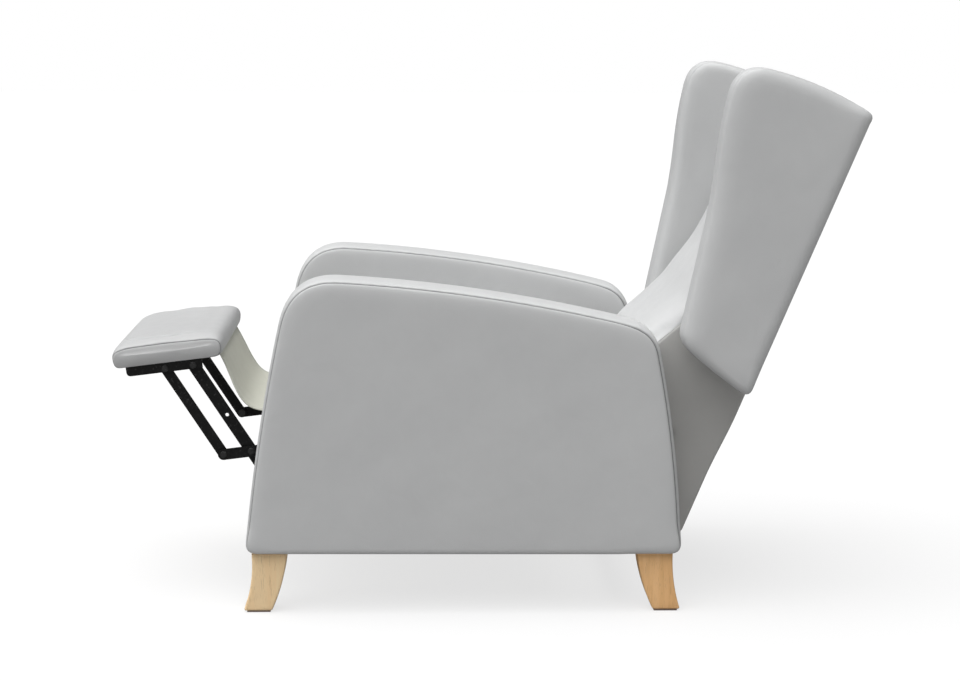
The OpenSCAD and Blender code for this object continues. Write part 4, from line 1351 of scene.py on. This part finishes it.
@dataclass(frozen=True)
class Seat(Piece):
    """Boxed seat cushion with a padded border that hangs below its front."""

    half: float = 0.241
    front: float = -0.410
    depth: float = 0.613
    frame_top: float = 0.4056
    frame_low: float = 0.365
    top: float = 0.458
    fall: float = 0.026
    crown: float = 0.009
    groove: float = 0.0028
    seams: tuple[float, float] = (0.16, 0.80)
    seam_reach: float = 0.035
    snug: float = 0.0035
    border_half: float = 0.233
    border_rear: float = 0.0275
    ahead: float = 0.004
    spacing: float = 0.006

    def rim(self, p: Array) -> Array:
        """Height of the top edge, which falls towards the back."""
        return self.top - self.fall * (p[:, 1] - self.front) / self.depth

    def box(self, half: float, rear: float, ahead: float, behind: float) -> Array:
        """Outline of a level box that starts at the seat's front.

        Args:
            half: Half of its width.
            rear: Its rear edge.
            ahead: Reach of its front corners.
            behind: Reach of its rear corners.

        Returns:
            Points along it.
        """
        front = self.front + self.ahead
        corners = ((half, front), (half, rear), (-half, rear), (-half, front))
        reaches = (ahead, behind, behind, ahead)
        return Outline(corners, reaches, (0.0,) * 4).points(self.spacing)

    def sewn(self, obj: Object) -> None:
        """Draws in the swollen cushion's sides along its two seams and marks them.

        Args:
            obj: The cushion.
        """
        obj.data.update()
        p = read_points(obj)
        out = np.zeros(len(p) * 3)
        obj.data.vertices.foreach_get("normal", out)
        out = out.reshape(-1, 3)
        rise = (p[:, 2] - self.frame_top) / (self.rim(p) - self.frame_top)
        side = ramp(np.hypot(out[:, 0], out[:, 1]), 0.35, 0.2)
        line = sum(np.exp(-(((rise - at) / self.seam_reach) ** 2)) for at in self.seams)
        mark = np.clip(line, 0.0, 1.0) * side
        move_points(obj, lambda q: q - out * (self.groove * mark)[:, None])
        seam = obj.data.attributes.get("seam") or obj.data.attributes.new("seam", "FLOAT", "POINT")
        seam.data.foreach_set("value", (mark**3).astype(np.float32))

    def build(self) -> None:
        """Builds and dresses the cushion and its border."""
        rows = [
            (0.0, 16), (0.03, 8), (0.09, 3.5), (0.15, 2.0, 1.6, 0.6), (0.2, 1.2), (0.35, 0.2),
            (0.52, 0.0), (0.68, 0.5), (0.77, 1.5, 0.4, 0.1), (0.8, 2.2, 2.6, 0.9),
            (0.83, 2.9, 0.6, 0.2), (0.88, 5.2), (0.93, 9.0), (0.97, 14), (1.0, 24),
        ]  # fmt: skip
        cushion = Slab(
            outline=self.box(self.half - self.snug, self.front + self.depth - 0.002, 0.030, 0.020),
            profile=profile_rows(rows),
            low=fixed(self.frame_top),
            high=self.rim,
            plane=Plane.LEVEL,
            crown_high=self.crown,
            rings=(0.04, 0.12, 0.22, 0.33, 0.44, 0.55, 0.66, 0.77, 0.87, 0.95),
            pucker=0.0006,
            pucker_length=0.028,
            seed=7.0,
        ).build("seat_pad")
        Stuffing().fill(cushion)
        self.sewn(cushion)
        self.shop.dress(cushion, LEATHER, Slot.UPHOLSTERY, "carriage", "seat_cushion")

        rows = [(0.0, 9), (0.05, 4), (0.15, 1.2), (0.4, 0), (0.8, 0.5), (1.0, 5)]
        border = Slab(
            outline=self.box(self.border_half, self.front + self.border_rear, 0.009, 0.009),
            profile=profile_rows(rows),
            low=fixed(self.frame_low),
            high=fixed(self.frame_top + 0.012),
            plane=Plane.LEVEL,
            rings=(0.2, 0.7),
            seed=9.0,
        ).build("seat_border")
        self.shop.dress(border, LEATHER, Slot.UPHOLSTERY, "carriage")


@dataclass(frozen=True)
class Footrest(Piece):
    """Padded footrest: a wrapped top that puffs above the seams of its two end panels."""

    half: float = 0.239
    under: float = 0.0127
    recess: float = 0.0016
    lean: float = 0.017
    board: Triple = (0.2334, -0.0870, 0.0940)
    top_z: float = 0.046
    top_y: tuple[float, float] = (-0.088, 0.085)
    wrinkle_x: float = 0.194
    puff: float = 0.0024
    dent: float = 0.0009
    fold_shade: float = 0.13
    spacing: float = 0.0035
    outline: Outline = Outline(
        ((0.1105, 0.0094), (0.1125, 0.0552), (-0.1055, 0.0557), (-0.0935, 0.0094)),
        (0.014, 0.027, 0.044, 0.006),
        (0.003, 0.0025, 0.001, 0.0),
    )

    def half_profile(self) -> Profile:
        """Draws the edge from an end panel's rim to the middle, by X in mm.

        Returns:
            One half of the profile.
        """
        rows = [
            (238.0, 21), (237.9, 15), (237.6, 11, 0.1, 0), (237.2, 9.2, 0.9, 0.3),
            (236.7, 8.5, 2.0, 0.95), (236.1, 8.0, 2.4, 1.0), (235.5, 7.6, 1.5, 0.9),
            (234.7, 7.1, 0.1, 0.1), (231.5, 6.0), (227, 4.7), (220.5, 3.3), (212, 2.0),
            (208, 1.6), (204, 1.2), (200, 1.0), (196.5, 0.85), (193, 0.75), (189.5, 0.65),
            (186, 0.6), (182, 0.55), (177, 0.5), (165, 0.4), (140, 0.2), (70, 0.0), (0.0, 0.0),
        ]  # fmt: skip
        return profile_rows(rows, 1000 * self.half, -1000 * self.half)

    def wrinkle(self, p: Array) -> Array:
        """Measures from the wrinkle beside each end panel.

        Args:
            p: Points in the footrest's frame.

        Returns:
            How far outside it each point lies.
        """
        turn = 1.4 + 1.1 * (p[:, 0] < 0.0)
        wave = 0.005 * np.sin(p[:, 1] * 55.0 + turn) + 0.0022 * np.sin(p[:, 1] * 131.0)
        return np.abs(p[:, 0]) - (self.wrinkle_x + wave)

    def top(self, p: Array) -> Array:
        """Marks the top between its front and rear rolls.

        Args:
            p: Points in the footrest's frame.

        Returns:
            1 on the top and 0 elsewhere.
        """
        front, rear = self.top_y
        level = ramp(p[:, 2], self.top_z, 0.006)
        return level * ramp(p[:, 1], front, 0.03) * ramp(p[:, 1], rear, -0.03)

    def shade(self, obj: Object) -> None:
        """Paints shade into the wrinkles' folds, which catch less light, before the pad is placed.

        Args:
            obj: The pad, still in the footrest's frame.
        """
        p = read_points(obj)
        near = np.exp(-(((self.wrinkle(p) - 0.002) / 0.006) ** 2))
        add_painted_shade(obj, self.fold_shade * near * self.top(p))

    def soften(self, p: Array) -> Array:
        """Creases the top beside its seams, hollows the underside over the board and places it.

        Args:
            p: The pad's points in the footrest's frame.

        Returns:
            The points in the shared frame.
        """
        q = p.copy()
        ends = ramp(np.abs(p[:, 0]), 0.15, 0.07)
        q[:, 0] *= 1.0 - self.lean * ((p[:, 2] - 0.032) / 0.020) ** 2 * ends
        off, top = self.wrinkle(p), self.top(p)
        beside = np.exp(-((off / 0.022) ** 2)) * (0.0006 + 0.0009 * np.sin(p[:, 1] * 83.0))
        q[:, 2] += top * ramp(off, 0.004, -0.008) * (self.puff + beside)
        q[:, 2] += top * self.dent * ripple(p[:, :2], 0.12, 6.0)
        half, front, rear = self.board
        over = (np.abs(p[:, 0]) < half) & (p[:, 1] > front) & (p[:, 1] < rear) & (p[:, 2] < 0.02)
        q[:, 2] = np.where(over, self.under + self.recess, q[:, 2])
        return FOOTREST_FRAME.world(q)

    def build(self) -> None:
        """Builds and dresses the footrest's pad."""
        o = self.outline.points(self.spacing)
        pad = Slab(
            outline=o,
            profile=mirrored(self.half_profile()),
            low=fixed(-self.half),
            high=fixed(self.half),
            crown_low=0.002,
            crown_high=0.002,
            rings=(0.1, 0.4, 0.7, 0.88),
            roll=0.2 + 0.8 * ramp(o[:, 1], 0.040, 0.016),
            pucker_length=0.018,
            seed=11.0,
        ).build("footrest_cover")
        self.shade(pad)
        move_points(pad, self.soften)
        # The footrest's darker leatherette is painted shade.
        self.shop.dress(pad, SHADED_FOOT_LEATHER, Slot.UPHOLSTERY, "footrest", "footrest_pad")


@dataclass(frozen=True)
class Flap(Piece):
    """Flexible panel that hangs from the footrest's rear edge and runs under the seat."""

    width: float = 0.430
    thick: float = 0.0026
    taper: float = 0.10
    hem: float = 0.009
    wave: float = 0.0011
    columns: int = 90
    rows: int = 48
    anchor: Triple = (0.0, -0.412, 0.362)
    draw: Triple = (0.0, -0.87, 0.5)
    keep: float = 0.15
    line: tuple[tuple[float, float], ...] = (
        (-0.5135, 0.4775), (-0.5086, 0.4697), (-0.5012, 0.4557), (-0.4924, 0.4355),
        (-0.4836, 0.4140), (-0.4760, 0.3985), (-0.4657, 0.3815), (-0.4500, 0.3682),
        (-0.4300, 0.3628), (-0.4100, 0.3617), (-0.3960, 0.3617),
    )  # fmt: skip

    def path(self) -> Array:
        """Draws the panel's line.

        Returns:
            Y and Z of its points, at an even spacing.
        """
        rough = np.array(self.line)
        for _ in range(3):
            cut = [rough[0]]
            for a, b in zip(rough[:-1], rough[1:]):
                cut += [a * 0.75 + b * 0.25, a * 0.25 + b * 0.75]
            rough = np.array(cut + [rough[-1]])
        return spaced(rough, self.rows, closed=False)

    def build(self) -> None:
        """Builds and dresses the panel."""
        line = self.path()
        step = np.gradient(line, axis=0)
        out = unit(np.stack([-step[:, 1], step[:, 0]], axis=1))
        s = np.linspace(0, 1, len(line))
        narrow = 1.0 - self.taper * smooth(1.0 - s / 0.6)
        rings, seams = [], []
        for x in np.linspace(-self.width / 2, self.width / 2, self.columns):
            edge = self.width / 2 - abs(x)
            dark = 0.35 * math.exp(-(((edge - self.hem) / 0.0022) ** 2))
            share = (1.5 if edge < self.hem else 1.0) * (0.55 if edge < 0.0015 else 1.0)
            wave = self.wave * np.sin(x * 31.0 + 3.0 * s) * np.sin(math.pi * s)
            mid = line + out * wave[:, None]
            half = out * (self.thick * share / 2)
            a, b = mid + half, mid - half
            loop = np.concatenate([a, b[::-1]])
            rings.append(np.column_stack([x * np.concatenate([narrow, narrow[::-1]]), loop]))
            seams.append(np.full(len(loop), dark))
        panel = ring_object("footrest_panel", np.array(rings), np.array(seams), thin=True)
        self.shop.dress(panel, FLAP, Slot.FLAP, "carriage", "footrest_flap")
        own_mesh(panel)


@dataclass(frozen=True)
class Rivet(Piece):
    """Low domed rivet head on the outer face of the footrest's linkage."""

    name: str
    body: str
    place: tuple[float, float]
    radius: float = 0.0068
    rise: float = 0.0012
    face_x: float = 0.2315
    turns: int = 28

    def build(self) -> None:
        """Builds and dresses the head on both sides of the chair."""
        for side in Side:
            a = np.linspace(0, 2 * math.pi, self.turns, endpoint=False)
            rings = []
            for k, t in enumerate(np.linspace(1.0, 0.15, 7)):
                lift = 0.0 if k == 0 else self.rise * math.sqrt(max(0.0, 1 - t * t * 0.92))
                r = self.radius * t
                y, z = self.place[0] + r * np.cos(a), self.place[1] + r * np.sin(a)
                rings.append(np.stack([np.full(self.turns, self.face_x + lift), y, z], axis=1))
            shape = np.array(rings)
            obj = ring_object(f"{self.name}_rivet_{side.word}", shape, np.zeros(shape.shape[:2]))
            self.shop.dress(flipped(obj, side), RIVET, Slot.PIN, self.body)


RIVETS = (
    ("crossing", "front_links", (-0.44801, 0.28600)),
    ("stay_low", "front_links", (-0.50160, 0.27935)),
    ("lift_tail", "rear_links", (-0.42320, 0.24790)),
    ("lift_top", "footrest", (-0.55740, 0.45379)),
    ("stay_top", "footrest", (-0.61100, 0.44715)),
)


@dataclass(frozen=True)
class Mechanism(Piece):
    """The CAD solids that show as they are: steel, pins, hidden timber, glides and webbing."""

    steel: tuple[str, ...] = (
        "base_plate", "front_swing_link", "rear_swing_link", "side_plate", "front_link",
        "rear_link", "lift_link", "stay_link", "footrest_bracket", "back_bracket",
    )  # fmt: skip
    timber: tuple[str, ...] = ("seat_rail", "back_post")
    inner: tuple[tuple[str, str], ...] = (("arm", "panel"), ("arm", "sill"), ("wing", "board"))
    rails: tuple[str, ...] = (
        "front_cross_rail", "rear_cross_rail", "seat_cross_rails", "back_rails", "footrest_board",
    )  # fmt: skip
    pins: tuple[str, ...] = ("leg_bolts", "swing_base_pins", "seat_springs")
    dark_pins: tuple[str, ...] = (
        "carriage_pins", "link_pins", "tail_pins", "bracket_pins", "hinge_pins",
    )  # fmt: skip

    def build(self, nodes: dict[str, Object]) -> None:
        """Dresses the CAD nodes.

        Args:
            nodes: The frame's nodes.
        """
        words = [side.word for side in Side]
        steel = [f"{name}_{word}" for name in self.steel for word in words]
        timber = [f"{name}_{word}" for name in self.timber for word in words]
        timber += [f"{kind}_{word}_{part}" for kind, part in self.inner for word in words]
        for finish, names in (
            (STEEL, [*steel, "torque_tube"]),
            (TIMBER, [*timber, *self.rails]),
            (PIN, self.pins),
            (RIVET, self.dark_pins),
            (GLIDE, ["foot_glides"]),
            (WEBBING, ["back_webbing"]),
        ):
            for name in names:
                self.shop.coat(nodes[name], finish)
            LOG.info("%s: %s", finish.name, ", ".join(names))


@dataclass(frozen=True)
class Studio:
    """Camera, soft lights and a plain pale floor."""

    eye: Triple = (4.348, -0.135, 1.105)
    yaw: float = 0.0308
    pitch: float = 0.1455
    turn: float = 0.0042
    lens: float = 81.4
    world: float = 0.21
    floor_half: float = 30.0
    floor_z: float = -0.0005
    floor_keep: float = 0.68
    floor_colour: float = 0.34
    floor_glow: float = 2.25
    spread: float = 66.0

    def camera(self) -> None:
        """Sets up the camera that sees what the photograph sees."""
        cam = bpy.data.objects.new("camera", bpy.data.cameras.new("camera"))
        bpy.context.scene.collection.objects.link(cam)
        cam.data.lens = self.lens
        cam.data.sensor_width = 36.0
        cam.data.clip_end = 100.0
        cam.location = self.eye
        level = math.cos(self.pitch)
        across, ahead = math.sin(self.yaw) * level, -math.cos(self.yaw) * level
        look = Vector((ahead, across, -math.sin(self.pitch))).to_track_quat("-Z", "Y")
        cam.rotation_euler = (look @ Quaternion((0.0, 0.0, 1.0), self.turn)).to_euler()
        bpy.context.scene.camera = cam

    def sun(self, name: str, towards: Triple, strength: float) -> None:
        """Adds a very soft sun, which lights the whole floor evenly.

        Args:
            name: Its name.
            towards: Direction in which it stands.
            strength: Its strength.
        """
        data = bpy.data.lights.new(name, "SUN")
        data.energy = strength
        data.angle = math.radians(self.spread)
        lamp = bpy.data.objects.new(name, data)
        bpy.context.scene.collection.objects.link(lamp)
        lamp.rotation_euler = (-Vector(towards)).to_track_quat("-Z", "Y").to_euler()

    def sky(self) -> None:
        """Soft grey light from all round, which the camera sees as plain white."""
        world = bpy.data.worlds.new("studio")
        bpy.context.scene.world = world
        world.use_nodes = True
        g, nodes = Graph(world.node_tree), world.node_tree.nodes
        soft = g.fill(nodes["Background"], {"Color": WHITE, "Strength": self.world})
        white = g.fill(g.node("ShaderNodeBackground"), {"Color": WHITE, "Strength": 1.0})
        g.seen(nodes["World Output"], soft, white)

    def floor(self) -> None:
        """Adds the floor, which looks white to the camera but keeps a soft shadow."""
        mesh = bpy.data.meshes.new("floor")
        r = self.floor_half
        mesh.from_pydata([(-r, -r, 0), (r, -r, 0), (r, r, 0), (-r, r, 0)], [], [(0, 1, 2, 3)])
        obj = bpy.data.objects.new("floor", mesh)
        bpy.context.scene.collection.objects.link(obj)
        obj.location.z = self.floor_z
        mat = bpy.data.materials.new("floor")
        mat.use_nodes = True
        g, nodes = Graph(mat.node_tree), mat.node_tree.nodes
        nodes.remove(nodes["Principled BSDF"])
        matte = g.fill(g.node("ShaderNodeBsdfDiffuse"), {"Color": (self.floor_colour,) * 3})
        glow = {"Color": WHITE, "Strength": self.floor_glow}
        glow = g.fill(g.node("ShaderNodeEmission"), glow)
        g.seen(nodes["Material Output"], matte, glow, 1.0 - self.floor_keep)
        mesh.materials.append(mat)

    def build(self) -> None:
        """Builds the camera, the lights and the floor."""
        bpy.context.scene.view_settings.view_transform = "Standard"
        self.camera()
        self.sky()
        self.floor()
        self.sun("key", (0.45, -0.25, 1.0), 2.37)
        self.sun("back", (-0.25, -0.36, 1.0), 1.85)


def corners(box: tuple[Vector, Vector]) -> list[list[float]]:
    """A box's two corners as plain lists."""
    return [[float(v) for v in corner] for corner in box]


def main() -> None:
    """Builds the chair's looks piece by piece."""
    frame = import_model()
    shop = Workshop()
    for side in Side:
        Arm(shop, side).build()
        Wing(shop, side).build()
        for front in (True, False):
            Leg(shop, side, front).build()
    for piece in (Back, Seat, Footrest, Flap):
        piece(shop).build()
    for name, body, place in RIVETS:
        Rivet(shop, name, body, place).build()
    Mechanism(shop).build(frame["nodes"])
    Studio().build()
    LOG.info("built")


if __name__ == "__main__":
    main()
